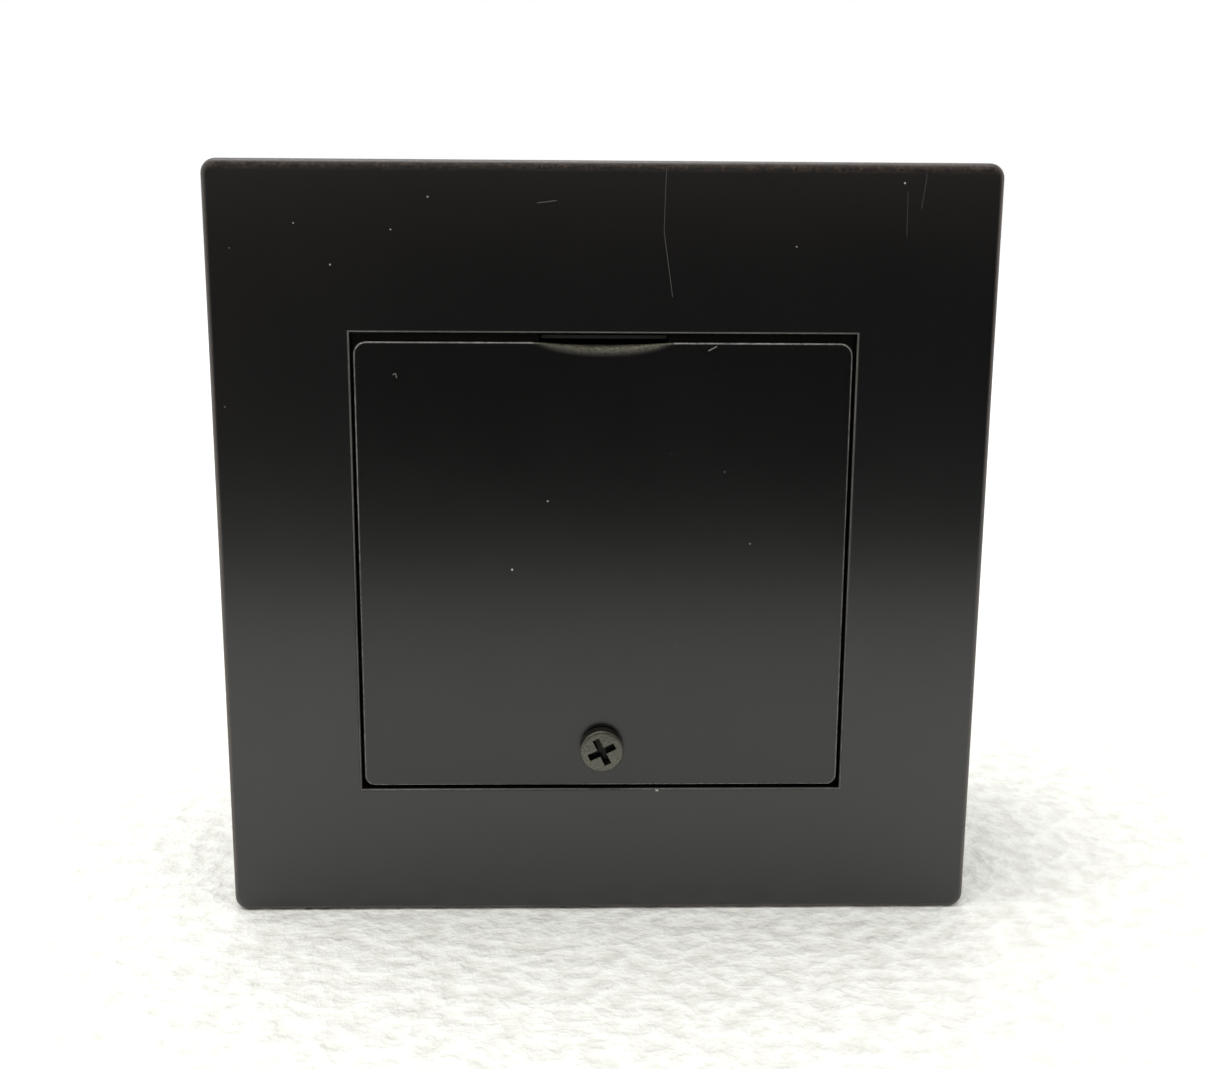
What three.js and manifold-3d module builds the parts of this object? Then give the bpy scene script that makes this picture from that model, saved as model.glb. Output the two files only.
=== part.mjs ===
// A battery-powered pulse demagnetizer for watches.
//
// Millimetres, +Z up. The case stands on its lower edge at z = 0, x = 0 is its middle and y = 0 is
// halfway through it. The battery hatch faces -Y. The watch side, with its pad and button, faces +Y.
// Behind the hatch a plastic tray holds three AA cells; behind it are a circuit board and a flat coil.

import * as THREE from 'three';
import { mergeVertices } from 'three/addons/utils/BufferGeometryUtils.js';
import Module from 'manifold-3d';

// Fits
const GAP = 0.3;                 // between pieces that touch on the real object
const FREE = 0.6;                // play round a loose piece
const SEAT = 0.15;               // under a screw's head
const OVERRUN = 1;               // how far a cut runs past what it cuts
const ROOT = 0.5;                // how deep a joined piece starts in its neighbour

// Case
const CASE_W = 100;              // across X
const CASE_H = 100;              // up Z
const CASE_D = 48;               // along Y
const CORNER_R = 2;              // its four long edges
const HATCH_EDGE_R = 0.85;       // round the hatch side
const MOUTH_EDGE_R = 0.5;        // round the watch side
const WALL = 2.4;                // side walls
const HATCH_WALL = 2.4;          // the wall with the battery opening
const RIM = 1.2;                 // what is left of a side wall beside the watch panel

// Cells and the tray they lie in
const CELL_D = 14.5;
const CELL_L = 50.5;
const CELL_CAN_L = 49.2;         // without the nub
const CELL_NUB_R = 2.6;
const CELLS = 3;
const CELL_PITCH = CELL_D + 0.5;
const CELL_RIM = 0.8;            // bevel at its flat end
const CELL_TO_FLOOR = 0.4;
const END_ROOM = 10.5;           // for the contacts, both ends together
const BAY_DEPTH = CELL_D + 2;    // from the door's ledge to the floor
const BAY_WALL = 1.8;
const BAY_FLOOR = 1.6;
const PARTITION = 1.5;           // between the cells and the screw's strip
const SCREW_STRIP = 10.4;        // height of that strip
const BANK_SLACK = 0.1;          // more play under the last cell

// Battery door and its opening
const LEDGE = 1.7;               // width of the ledge behind the door's edge
const COLLAR = 2.5;              // the tray's flange, past the opening
const FLANGE_T = 1.6;
const HATCH_DROP = 1.85;         // how far the opening's middle lies below the case's
const DOOR_T = 2.2;
const DOOR_SINK = 0.6;           // below the hatch face
const DOOR_SIDE_GAP = 0.35;
const DOOR_LOW_GAP = 0.3;
const DOOR_TOP_GAP = 1.15;       // wider, for the latch
const DOOR_EDGE_R = 0.35;
const DOOR_TOP_R = 1.7;          // its upper corners
const DOOR_LOW_R = 1.3;          // its lower corners
const SCOOP_W = 17.5;            // finger scoop, along the top edge
const SCOOP_FALL = 1.8;          // down the door's front
const SCOOP_NOTCH = 0.45;        // down the door's back
const LATCH_W = 16;
const LATCH_T = 0.5;
const LATCH_BEND_R = 2;
const LATCH_FOOT = 9;            // its foot, down the door's back
const LATCH_TIP_GAP = 0.25;      // to the opening's upper edge
const LATCH_TIP_IN = 0.8;        // from the door's front
const LATCH_BEND_IN = 0.9;       // middle of its bend, from the ledge
const LATCH_POCKET = 3.6;        // depth of its pocket in the tray
const DOOR_PAD_T = 1.1;          // foam that steadies the cells
const DOOR_PAD_W = 44;

// Door screw, M3 with a pan head, held in the door by a clip
const SCREW_D = 3;
const SCREW_L = 10;
const SCREW_HEAD_D = 5.8;
const SCREW_HEAD_H = 2;
const SCREW_RIM_R = 0.32;        // round its head's face
const SCREW_UP = 5.4;            // above the door's lower edge
const SCREW_LIFT = 3.6;          // how far it backs out of the insert
const CLIP_D = 6;
const CLIP_T = 0.5;
const GROOVE_D = 2.2;
const CLIP_PLAY = 0.5;           // to the boss, when the screw is all the way in
const CLIP_SPARE = 0.1;          // to the door, when the screw is all the way out
const CROSS_W = 0.95;            // driver cross
const CROSS_SPAN = 3.85;
const CROSS_DEPTH = 1.3;
const CROSS_TURN = 26;           // degrees
const INSERT_D = 4.6;
const INSERT_L = 4;
const BOSS_D = 7.6;
const BOSS_RIB = 1.6;
const SCREW_TIP_ROOM = 3;        // past the insert

// Contact plates
const PLATE_T = 0.4;
const PLATE_W = 11;
const PLATE_STAND = 1.5;         // off the bay's end wall
const PLATE_TOP = 12.2;          // above the bay's floor
const TAIL_W = 3;
const TAIL_OUT = 1.2;            // past the back of the bay's floor
const POST_T = 2;                // the posts that hold a plate's ends
const POST_REACH = 1.3;          // past the plate
const COIL_WIRE = 0.8;           // contact springs
const COIL_WIDE_R = 4.2;
const COIL_NARROW_R = 2.2;
const COIL_TURNS = 4;
const LEAD_D = 1.4;

// Watch panel and pad
const PANEL_T = 3;
const PAD_D = 58;
const PAD_T = 1.6;
const PAD_SINK = 1;              // depth of its recess
const PANEL_R = 0.8;             // its corners
const PANEL_EDGE_R = 0.25;

// Coil
const COIL_D = 54;
const COIL_BORE = 24;
const COIL_WALL = 1.5;
const WINDING_INSET = 1.5;       // below the bobbin's rim
const CLAMP_D = 30;
const CLAMP_T = 1;
const CLAMP_SCREW_D = 3;
const CLAMP_HEAD_D = 5.6;
const CLAMP_HEAD_H = 1.8;
const CLAMP_SCREW_IN = 6;        // into the panel's hub
const CLAMP_TO_BOARD = 1.3;
const HUB_WALL = 3;
const BOBBIN_PLAY = 0.5;         // to the panel
const COIL_LEAD_D = 0.9;

// Circuit board
const BOARD_T = 1.6;
const BOARD_MARGIN = 4.2;        // to the side walls
const BOARD_END_MARGIN = 3.2;    // to the top and bottom walls
const BOARD_R = 1.5;
const BAY_TO_BOARD = 4;          // bay floor's back to the board's near face
const PILLAR_D = 6;
const PILLAR_INSET = 5;          // from the board's edges
const BOARD_SCREW_D = 2.2;
const BOARD_SCREW_L = 6.1;
const BOARD_HEAD_D = 4.2;
const BOARD_HEAD_H = 1.4;
const BOARD_PILOT = 8;           // depth of the holes in the pillars

// Tray screws, into the case's bosses beside the tray
const TRAY_SCREW_L = 5.5;
const TRAY_SCREW_OUT = 6.4;      // past the opening's sides
const TRAY_SCREW_IN = 9;         // from the opening's upper and lower edges
const EAR_T = 2;
const EAR_H = 8;
const TRAY_BOSS_D = 6.5;
const TRAY_BOSS_L = 4.3;

// Case screws, under the cells
const CASE_SCREW_D = 2.5;
const CASE_SCREW_L = 8;
const CASE_HEAD_D = 4.6;
const CASE_HEAD_H = 1.6;
const CASE_SCREW_X = 25;
const CASE_SCREW_INSET = 2.35;   // from the edge of the bank of cells
const CASE_PAD = 1.9;            // extra floor behind each head
const CASE_PILLAR_D = 6.4;
const CASE_BOSS_D = 8.6;         // round each head
const BOARD_RELIEF = 0.6;        // round the pillars where they pass the board

// Button and lamp
const BUTTON_D = 13;
const BUTTON_PROUD = 1.4;
const BUTTON_TRAVEL = 1.2;
const BUTTON_FLANGE = 1.1;
const BUTTON_FLANGE_T = 2;
const PAD_TO_BUTTON = 5.95;
const SWITCH_W = 7;
const SWITCH_H = 6;
const PLUNGER_D = 3.5;
const SPRING_D = 11.9;           // to the middle of the wire
const SPRING_WIRE = 0.7;
const SPRING_TURNS = 6;
const LAMP_X = 14;
const GUIDE_D = 3;
const GUIDE_LIP = 0.8;
const STEM_D = 5.2;              // of the cap, down to the plunger
const PLUNGER_OUT = BUTTON_TRAVEL + 1.3;   // of the switch
const PLUNGER_IN = 1.5;
const PLUNGER_WELL = 4;
const LAMP_H = 3.9;

// Parts on the board
const STORE_D = 12.5;            // storage capacitors
const STORE_L = 25;
const COIL_TO_STORE = 2.25;
const FILM_W = 18;               // film capacitor
const FILM_H = 8;
const FILM_T = 12;
const FILM_R = 0.6;              // its corners
const FILM_EDGE_R = 0.4;
const FILM_X = -22;
const FILM_UP = 4;               // above the button's middle
const CORE_W = 16;               // step-up transformer: an EE core round a wound bobbin
const CORE_H = 15;
const CORE_T = 5;
const CORE_LEG = 4;
const CORE_BACK = 3;
const WINDING_T = 3;             // past each side of the core
const CORE_X = 26.5;
const CORE_UP = 5.5;             // above the button's middle
const POWER_X = -15;
const CHIP_X = 12;
const DIODE_X = 25;
const TOP_ROW = 5.2;             // below the board's upper edge
const DIODE_UP = 1;              // above that row

// Places, worked out from the sizes above
const hatchY = -CASE_D / 2;
const watchY = CASE_D / 2;
const doorFrontY = hatchY + DOOR_SINK;
const doorBackY = doorFrontY + DOOR_T;
const hatchInnerY = hatchY + HATCH_WALL;
const earY = hatchInnerY + TRAY_BOSS_L + GAP;     // face of the tray's ears
const ledgeY = doorBackY + GAP;
const bayFloorY = ledgeY + BAY_DEPTH;
const bayBackY = bayFloorY + BAY_FLOOR;
const boardNearY = bayBackY + BAY_TO_BOARD;
const boardY = boardNearY + BOARD_T;             // the side with the parts
const panelInnerY = watchY - PANEL_T;
const bankH = CELLS * CELL_D + (CELLS - 1) * (CELL_PITCH - CELL_D);
const openingW = 2 * LEDGE + CELL_L + END_ROOM;
const openingH = 2 * LEDGE + SCREW_STRIP + PARTITION + bankH + 2 * FREE + BANK_SLACK;
const openingLow = CASE_H / 2 - HATCH_DROP - openingH / 2;
const openingHigh = openingLow + openingH;
const bayX = openingW / 2 - LEDGE;
const bayLow = openingLow + LEDGE;
const bayHigh = openingHigh - LEDGE;
const doorLow = openingLow + DOOR_LOW_GAP;
const doorHigh = openingHigh - DOOR_TOP_GAP;
const doorX = openingW / 2 - DOOR_SIDE_GAP;
const screwZ = doorLow + SCREW_UP;
const cellY = bayFloorY - CELL_TO_FLOOR - CELL_D / 2;
const topCellZ = bayHigh - FREE - CELL_D / 2;
const bankZ = topCellZ - (CELLS - 1) * CELL_PITCH / 2;
const coilZ = bankZ;
const buttonZ = coilZ - PAD_D / 2 - PAD_TO_BUTTON - BUTTON_D / 2;
const caseScrewDz = bankH / 2 - CASE_SCREW_INSET;
const boardX = CASE_W / 2 - WALL - BOARD_MARGIN;
const boardLow = WALL + BOARD_END_MARGIN;
const boardHigh = CASE_H - boardLow;
const clampHeadY = boardY + CLAMP_TO_BOARD;      // outer end of the clamp screw's head
const bobbinLowY = clampHeadY + CLAMP_HEAD_H + GAP + CLAMP_T + GAP;
const bobbinHighY = panelInnerY - BOBBIN_PLAY;
const coilLowY = bobbinLowY + COIL_WALL + GAP;
const coilHighY = bobbinHighY - COIL_WALL - GAP;
const plateX = bayX - PLATE_STAND;
const nubX = plateX - PLATE_T / 2 - GAP;         // where each nub's tip stands
const cellMidX = nubX - CELL_L / 2;
const bossY = doorBackY + SCREW_LIFT + CLIP_T + CLIP_PLAY;
const grooveY = bossY - CLIP_PLAY - CLIP_T + CLIP_SPARE;
const latchTipZ = openingHigh - LATCH_TIP_GAP;
const flangeHighY = panelInnerY - GAP;           // the button's flange
const flangeLowY = flangeHighY - BUTTON_FLANGE_T;
const plungerHighY = boardY + GAP + SWITCH_H + PLUNGER_OUT;

const wasm = await Module();
wasm.setup();

// ---- Shapes ----

/** Box between two corners. */
function box(x0, x1, y0, y1, z0, z1) {
  const shape = new THREE.BoxGeometry(x1 - x0, y1 - y0, z1 - z0);
  return shape.translate((x0 + x1) / 2, (y0 + y1) / 2, (z0 + z1) / 2);
}

/** Cylinder along Y, centred on (x, z). */
function rod(x, z, diameter, y0, y1, sides = 24) {
  const r = diameter / 2;
  return new THREE.CylinderGeometry(r, r, y1 - y0, sides).translate(x, (y0 + y1) / 2, z);
}

/** Solid of revolution about the Y axis through (x, z), from [radius, y] points in rising y outside. */
function turned(profile, x = 0, z = 0, sides = 36) {
  const points = profile.map(([r, y]) => new THREE.Vector2(r, y));
  return new THREE.LatheGeometry(points, sides).translate(x, 0, z);
}

/** Ring about the Y axis. */
function ring(inner, outer, y0, y1, x = 0, z = 0, sides = 36) {
  const [a, b] = [inner / 2, outer / 2];
  return turned([[a, y0], [b, y0], [b, y1], [a, y1], [a, y0]], x, z, sides);
}

/** Rectangle about (0, z) with round corners, of radius low at its lower ones. */
function roundedRectangle(w, h, r, z, low = r) {
  const shape = new THREE.Shape();
  const [x1, z0, z1] = [w / 2, z - h / 2, z + h / 2];
  shape.absarc(x1 - r, z1 - r, r, 0, Math.PI / 2);
  shape.absarc(-x1 + r, z1 - r, r, Math.PI / 2, Math.PI);
  shape.absarc(-x1 + low, z0 + low, low, Math.PI, 1.5 * Math.PI);
  shape.absarc(x1 - low, z0 + low, low, 1.5 * Math.PI, 2 * Math.PI);
  return shape;
}

/** An outline in (x, z) pushed along Y, with both its ends rounded off. */
function slab(outline, y0, y1, edge = 0, steps = 3) {
  const shape = new THREE.ExtrudeGeometry(outline, {
    depth: y1 - y0 - 2 * edge, bevelEnabled: edge > 0, bevelThickness: edge, bevelSize: edge,
    bevelOffset: -edge, bevelSegments: steps, curveSegments: 4,
  });
  return shape.rotateX(Math.PI / 2).translate(0, y1 - edge, 0);
}

/** An outline in (y, z) pushed along X from x0 to x1. */
function slice(outline, x0, x1) {
  const shape = new THREE.ExtrudeGeometry(outline, {
    depth: x1 - x0, bevelEnabled: false, curveSegments: 8,
  });
  const turn = new THREE.Matrix4().makeBasis(
    new THREE.Vector3(0, 1, 0), new THREE.Vector3(0, 0, 1), new THREE.Vector3(1, 0, 0));
  return shape.applyMatrix4(turn).translate(x0, 0, 0);
}

/** Round wire along a curve. */
function wire(path, diameter, steps, sides = 8) {
  const section = new THREE.Shape();
  for (let i = 0; i < sides; i += 1) {
    const a = 2 * Math.PI * i / sides;
    const [x, y] = [diameter / 2 * Math.cos(a), diameter / 2 * Math.sin(a)];
    if (i === 0) section.moveTo(x, y);
    else section.lineTo(x, y);
  }
  return new THREE.ExtrudeGeometry(section, { steps, extrudePath: path, curveSegments: 1 });
}

/** Helix along +Y from y = 0, whose radius runs from r0 to r1. */
class Helix extends THREE.Curve {
  constructor(r0, r1, length, turns) {
    super();
    Object.assign(this, { r0, r1, length, turns });
  }

  getPoint(t, target = new THREE.Vector3()) {
    const r = this.r0 + (this.r1 - this.r0) * t;
    const a = 2 * Math.PI * this.turns * t;
    return target.set(r * Math.cos(a), this.length * t, r * Math.sin(a));
  }
}

// ---- Cutting and joining ----

/** A closed geometry as a solid that can be cut and joined. */
function solid(geometry) {
  const bare = geometry.clone();
  bare.deleteAttribute('normal');
  bare.deleteAttribute('uv');
  const merged = mergeVertices(bare, 1e-4);
  return new wasm.Manifold(new wasm.Mesh({
    numProp: 3,
    vertProperties: new Float32Array(merged.attributes.position.array),
    triVerts: new Uint32Array(merged.index.array),
  }));
}

const join = (base, ...parts) => parts.reduce((sum, part) => sum.add(solid(part)), base);
const cut = (base, ...tools) => tools.reduce((rest, tool) => rest.subtract(solid(tool)), base);

/** A solid back as a geometry. */
function geometryOf(body) {
  const mesh = body.getMesh();
  const geometry = new THREE.BufferGeometry();
  geometry.setAttribute('position', new THREE.BufferAttribute(mesh.vertProperties, mesh.numProp));
  geometry.setIndex(new THREE.BufferAttribute(mesh.triVerts, 1));
  return geometry;
}

// ---- Finishes: colour, roughness, metalness ----

const BLACK_ANODISED = [0x141416, 0.32, 0.2];
const BLACK_ABS = [0x1b1b1d, 0.42, 0];
const BLACK_RUBBER = [0x202022, 0.85, 0];
const BLACK_NICKEL = [0x4a4a42, 0.35, 1];
const BRASS = [0xb08d4a, 0.35, 1];
const BRONZE = [0x9a7048, 0.35, 1];
const FOAM = [0x26262a, 0.95, 0];
const COPPER = [0x9c4a24, 0.4, 0.8];
const NYLON = [0xd8d2c0, 0.6, 0];
const BOARD = [0x1f5a36, 0.5, 0];
const SPRING_STEEL = [0xb9bcc0, 0.3, 1];
const NICKEL = [0xc4c2bb, 0.3, 1];
const CELL_SLEEVE = [0x31506e, 0.4, 0.2];
const CAN_SLEEVE = [0x23262c, 0.45, 0];
const FERRITE = [0x3b3b3d, 0.75, 0];
const FILM_BOX = [0xa33a2a, 0.5, 0];
const CHIP = [0x18181a, 0.6, 0];
const CLEAR = [0xe8ecef, 0.1, 0];
const RED_ABS = [0x8c1f1c, 0.4, 0];
const PVC_RED = [0xb0241e, 0.5, 0];
const PVC_BLACK = [0x1a1a1a, 0.5, 0];

/** A named piece in a group. */
function piece(group, name, shape, [color, roughness, metalness]) {
  const geometry = shape instanceof wasm.Manifold ? geometryOf(shape) : shape;
  const mesh = new THREE.Mesh(geometry, new THREE.MeshStandardMaterial({ color, roughness, metalness }));
  mesh.name = name;
  group.add(mesh);
  return mesh;
}

// ---- Places that repeat ----

const caseScrews = [[-1, -1], [1, -1], [-1, 1], [1, 1]].map(
  ([sx, sz]) => [sx * CASE_SCREW_X, bankZ + sz * caseScrewDz]);
const trayScrews = [[-1, openingLow + TRAY_SCREW_IN], [1, openingLow + TRAY_SCREW_IN],
  [-1, openingHigh - TRAY_SCREW_IN], [1, openingHigh - TRAY_SCREW_IN]].map(
  ([side, z]) => [side * (openingW / 2 + TRAY_SCREW_OUT), z]);
const boardPillars = [[-1, boardLow + PILLAR_INSET], [1, boardLow + PILLAR_INSET],
  [-1, boardHigh - PILLAR_INSET], [1, boardHigh - PILLAR_INSET]].map(
  ([side, z]) => [side * (boardX - PILLAR_INSET), z]);
const cellZ = (index) => topCellZ - index * CELL_PITCH;

// Contact plates: which end, first and last cell that each one touches, and whether a lead leaves it.
const contacts = [
  { name: 'contact_plus', side: 1, first: 0, last: 0, tail: true },
  { name: 'contact_link_left', side: -1, first: 0, last: 1, tail: false },
  { name: 'contact_link_right', side: 1, first: 1, last: 2, tail: false },
  { name: 'contact_minus', side: -1, first: 2, last: 2, tail: true },
];
const plateLow = (contact) => cellZ(contact.last) - PLATE_W / 2;
const plateHigh = (contact) => cellZ(contact.first) + PLATE_W / 2;

/** A contact plate's box, grown by play on every side but its foot. */
function plateBox({ side, first, last }, play = 0) {
  const [inner, outer] = [plateX - PLATE_T / 2 - play, plateX + PLATE_T / 2 + play];
  const [x0, x1] = side > 0 ? [inner, outer] : [-outer, -inner];
  const [z0, z1] = [plateLow({ last }) - play, plateHigh({ first }) + play];
  return box(x0, x1, bayFloorY - PLATE_TOP - play, bayFloorY - GAP, z0, z1);
}

/** A contact's solder tail, through the floor. */
function tailBox({ side, first }, play = 0) {
  const half = PLATE_T / 2 + play;
  const x = side * plateX;
  const z = cellZ(first);
  const wide = TAIL_W / 2 + play;
  return box(x - half, x + half, bayFloorY - OVERRUN, bayBackY + TAIL_OUT + play, z - wide, z + wide);
}

// ---- Case ----

/** The post with a groove at each end of a contact plate. */
function contactPosts(contact) {
  const reach = PLATE_STAND + POST_REACH;
  const [x0, x1] = contact.side > 0 ? [bayX - reach, bayX + ROOT] : [-bayX - ROOT, -bayX + reach];
  return [plateLow(contact), plateHigh(contact)].map(
    (z) => box(x0, x1, bayFloorY - PLATE_TOP, bayFloorY + ROOT, z - POST_T / 2, z + POST_T / 2));
}

/** Hatch face and side walls in one casting, open at the watch side. */
function housing() {
  const outline = roundedRectangle(CASE_W, CASE_H, CORNER_R, CASE_H / 2);
  const past = 20;
  const mid = CASE_H / 2;
  const roundest = 0.9 * CORNER_R;
  let body = solid(slab(outline, hatchY, watchY + past, Math.min(HATCH_EDGE_R, roundest)));
  body = body.intersect(solid(slab(outline, hatchY - past, watchY, Math.min(MOUTH_EDGE_R, roundest))));
  const [inX, inZ] = [CASE_W / 2 - WALL, CASE_H / 2 - WALL];
  const [rimX, rimZ] = [CASE_W / 2 - RIM, CASE_H / 2 - RIM];
  body = cut(body,
    box(-inX, inX, hatchInnerY, watchY + past, mid - inZ, mid + inZ),
    box(-rimX, rimX, panelInnerY - GAP, watchY + past, mid - rimZ, mid + rimZ),
    box(-openingW / 2, openingW / 2, hatchY - OVERRUN, hatchInnerY + OVERRUN, openingLow, openingHigh));
  body = join(body,
    ...trayScrews.map(([x, z]) => rod(x, z, TRAY_BOSS_D, hatchInnerY - ROOT, earY - GAP, 20)));
  const pilotY = earY + EAR_T - TRAY_SCREW_L - ROOT;
  return cut(body,
    ...trayScrews.map(([x, z]) => rod(x, z, CASE_SCREW_D + 2 * GAP, pilotY, earY + OVERRUN, 12)));
}

/** Moulded tray behind the hatch: the door's ledge, the cells' bay, and the screw's boss and strip. */
function batteryTray() {
  const flangeY = hatchInnerY + GAP;
  const edgeX = openingW / 2 + COLLAR;
  const wallX = bayX + BAY_WALL;
  const latchX = LATCH_W / 2 + GAP;
  const latchDeep = ledgeY + LATCH_POCKET;
  let body = join(
    solid(box(-edgeX, edgeX, flangeY, flangeY + FLANGE_T, openingLow - COLLAR, openingHigh + COLLAR)),
    box(-wallX, wallX, flangeY + ROOT, bayBackY, bayLow - BAY_WALL, bayHigh + BAY_WALL),
    box(-latchX - BAY_WALL, latchX + BAY_WALL, flangeY + ROOT, latchDeep + BAY_WALL, bayHigh,
      openingHigh + BAY_WALL),
    ...trayScrews.map(([x, z]) => {
      const out = Math.abs(x) + TRAY_BOSS_D / 2;
      const [x0, x1] = x > 0 ? [wallX - ROOT, out] : [-out, -wallX + ROOT];
      return box(x0, x1, earY, earY + EAR_T, z - EAR_H / 2, z + EAR_H / 2);
    }),
    ...caseScrews.map(([x, z]) => rod(x, z, CASE_BOSS_D, bayBackY - ROOT, bayBackY + CASE_PAD)));
  const cellsLow = cellZ(CELLS - 1) - CELL_D / 2 - FREE - BANK_SLACK;
  body = cut(body,
    box(-openingW / 2, openingW / 2, hatchY - OVERRUN, ledgeY, openingLow, openingHigh),
    box(-bayX, bayX, ledgeY - OVERRUN, bayFloorY, cellsLow, bayHigh),
    box(-bayX, bayX, ledgeY - OVERRUN, bayFloorY, bayLow, cellsLow - PARTITION),
    box(-latchX, latchX, ledgeY - OVERRUN, latchDeep, bayHigh - OVERRUN, openingHigh),
    ...trayScrews.map(
      ([x, z]) => rod(x, z, CASE_SCREW_D + 2 * GAP, earY - OVERRUN, earY + EAR_T + OVERRUN, 12)));

  body = join(body,
    rod(0, screwZ, BOSS_D, bossY, bayFloorY + ROOT),
    box(-BOSS_RIB / 2, BOSS_RIB / 2, bossY + OVERRUN, bayFloorY + ROOT, bayLow - ROOT, screwZ - SCREW_D),
    ...contacts.flatMap(contactPosts));
  return cut(body,
    rod(0, screwZ, INSERT_D + 2 * GAP, bossY - OVERRUN, bossY + INSERT_L + GAP),
    rod(0, screwZ, SCREW_D + 2 * GAP, bossY, bossY + INSERT_L + SCREW_TIP_ROOM),
    ...contacts.map((contact) => plateBox(contact, GAP)),
    ...contacts.filter((contact) => contact.tail).map((contact) => tailBox(contact, GAP)),
    ...caseScrews.flatMap(([x, z]) => [
      rod(x, z, CASE_HEAD_D + 2 * GAP, bayFloorY - OVERRUN, bayFloorY + CASE_HEAD_H + GAP),
      rod(x, z, CASE_SCREW_D + 2 * GAP, bayFloorY, bayBackY + CASE_PAD + OVERRUN, 12)]));
}

/** Threaded brass insert in the screw's boss. */
function doorInsert() {
  return ring(SCREW_D + 2 * GAP, INSERT_D, bossY, bossY + INSERT_L, 0, screwZ, 24);
}

/** Self-tapping screw along +Y, its head's top at y = 0. */
function selfTapper(length) {
  const head = CASE_HEAD_D / 2;
  const shank = CASE_SCREW_D / 2;
  const end = CASE_HEAD_H + length;
  return turned([[0, 0], [head - 0.5, 0], [head, 0.4], [head, CASE_HEAD_H], [shank, CASE_HEAD_H],
    [shank, end - 1], [0, end]], 0, 0, 14);
}

// ---- Watch panel ----

/** Lid of the case: pad recess, button and lamp holes, pillars for the board and the case screws. */
function watchPanel() {
  const [w, h] = [CASE_W - 2 * RIM - 2 * GAP, CASE_H - 2 * RIM - 2 * GAP];
  let body = solid(
    slab(roundedRectangle(w, h, PANEL_R, CASE_H / 2), panelInnerY, watchY, PANEL_EDGE_R, 1));
  const buried = panelInnerY + ROOT;
  const hubLow = bobbinLowY + GAP;
  const hubR = COIL_BORE / 2 - GAP;
  const hub = turned([[0, hubLow], [hubR, hubLow], [hubR, buried], [0, buried]], 0, coilZ);
  const caseEnd = bayBackY + CASE_PAD + GAP;
  body = join(body, hub,
    ...boardPillars.map(([x, z]) => rod(x, z, PILLAR_D, boardY + GAP, buried, 16)),
    ...caseScrews.map(([x, z]) => rod(x, z, CASE_PILLAR_D, caseEnd, buried, 16)));
  const boardPilot = BOARD_SCREW_D + 2 * GAP;
  const casePilot = CASE_SCREW_D + 2 * GAP;
  const hubHollow = ring(
    2 * CLAMP_HEAD_D, COIL_BORE - 2 * HUB_WALL, hubLow - OVERRUN, panelInnerY, 0, coilZ);
  return cut(body, hubHollow,
    rod(0, coilZ, PAD_D + 2 * GAP, watchY - PAD_SINK, watchY + OVERRUN, 48),
    rod(0, coilZ, CLAMP_SCREW_D + 2 * GAP, hubLow - OVERRUN, hubLow + CLAMP_SCREW_IN + OVERRUN, 12),
    rod(0, buttonZ, BUTTON_D + 2 * GAP, panelInnerY - OVERRUN, watchY + OVERRUN, 32),
    rod(LAMP_X, buttonZ, GUIDE_D + 2 * GAP, panelInnerY - OVERRUN, watchY + OVERRUN, 16),
    ...boardPillars.map(([x, z]) => rod(x, z, boardPilot, boardY - OVERRUN, boardY + BOARD_PILOT, 10)),
    ...caseScrews.map(([x, z]) => rod(x, z, casePilot, caseEnd - OVERRUN, caseEnd + CASE_SCREW_L, 10)));
}

/** Soft disc that the watch lies against. */
function watchPad() {
  const r = PAD_D / 2;
  const [low, high] = [watchY - PAD_SINK + GAP, watchY - PAD_SINK + GAP + PAD_T];
  return turned([[0, low], [r, low], [r, high - 0.5], [r - 0.15, high - 0.15], [r - 0.5, high],
    [0, high]], 0, coilZ, 48);
}

// ---- Coil ----

/** Two flanges on a tube. */
function coilBobbin() {
  const [bore, tube, rim] = [COIL_BORE / 2, COIL_BORE / 2 + COIL_WALL, COIL_D / 2];
  const [lo, hi] = [bobbinLowY, bobbinHighY];
  return turned([[bore, lo], [rim, lo], [rim, lo + COIL_WALL], [tube, lo + COIL_WALL],
    [tube, hi - COIL_WALL], [rim, hi - COIL_WALL], [rim, hi], [bore, hi], [bore, lo]], 0, coilZ);
}

/** Enamelled copper, wound full. */
function coilWinding() {
  const inner = COIL_BORE + 2 * COIL_WALL + 2 * GAP;
  return ring(inner, COIL_D - 2 * WINDING_INSET, coilLowY, coilHighY, 0, coilZ);
}

/** Brass washer that clamps the bobbin to the panel's hub. */
function clampWasher() {
  const high = bobbinLowY - GAP;
  return ring(CLAMP_SCREW_D + 2 * GAP, CLAMP_D, high - CLAMP_T, high, 0, coilZ);
}

/** Cheese-headed brass screw into the hub. */
function clampScrew() {
  const [head, shank] = [CLAMP_HEAD_D / 2, CLAMP_SCREW_D / 2];
  const under = clampHeadY + CLAMP_HEAD_H;
  const end = bobbinLowY + GAP + CLAMP_SCREW_IN;
  return turned([[0, clampHeadY], [head - 0.6, clampHeadY], [head, clampHeadY + 0.5], [head, under],
    [shank, under], [shank, end - 1], [0, end]], 0, coilZ, 16);
}

/** A coil end, from under the bobbin to the board. */
function coilLead(side) {
  const d = COIL_LEAD_D;
  const high = bobbinLowY - GAP - d / 2;
  const low = boardY + GAP + d / 2;
  const z = coilZ - COIL_D / 2 + 4;
  return wire(new THREE.CatmullRomCurve3([
    new THREE.Vector3(side * 5, high, z + 2),
    new THREE.Vector3(side * 7, high - 0.2, z),
    new THREE.Vector3(side * 8.5, (high + low) / 2, z - 1.5),
    new THREE.Vector3(side * 9, low, z - 3)]), d, 10, 6);
}

// ---- Circuit board and its parts ----

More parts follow.
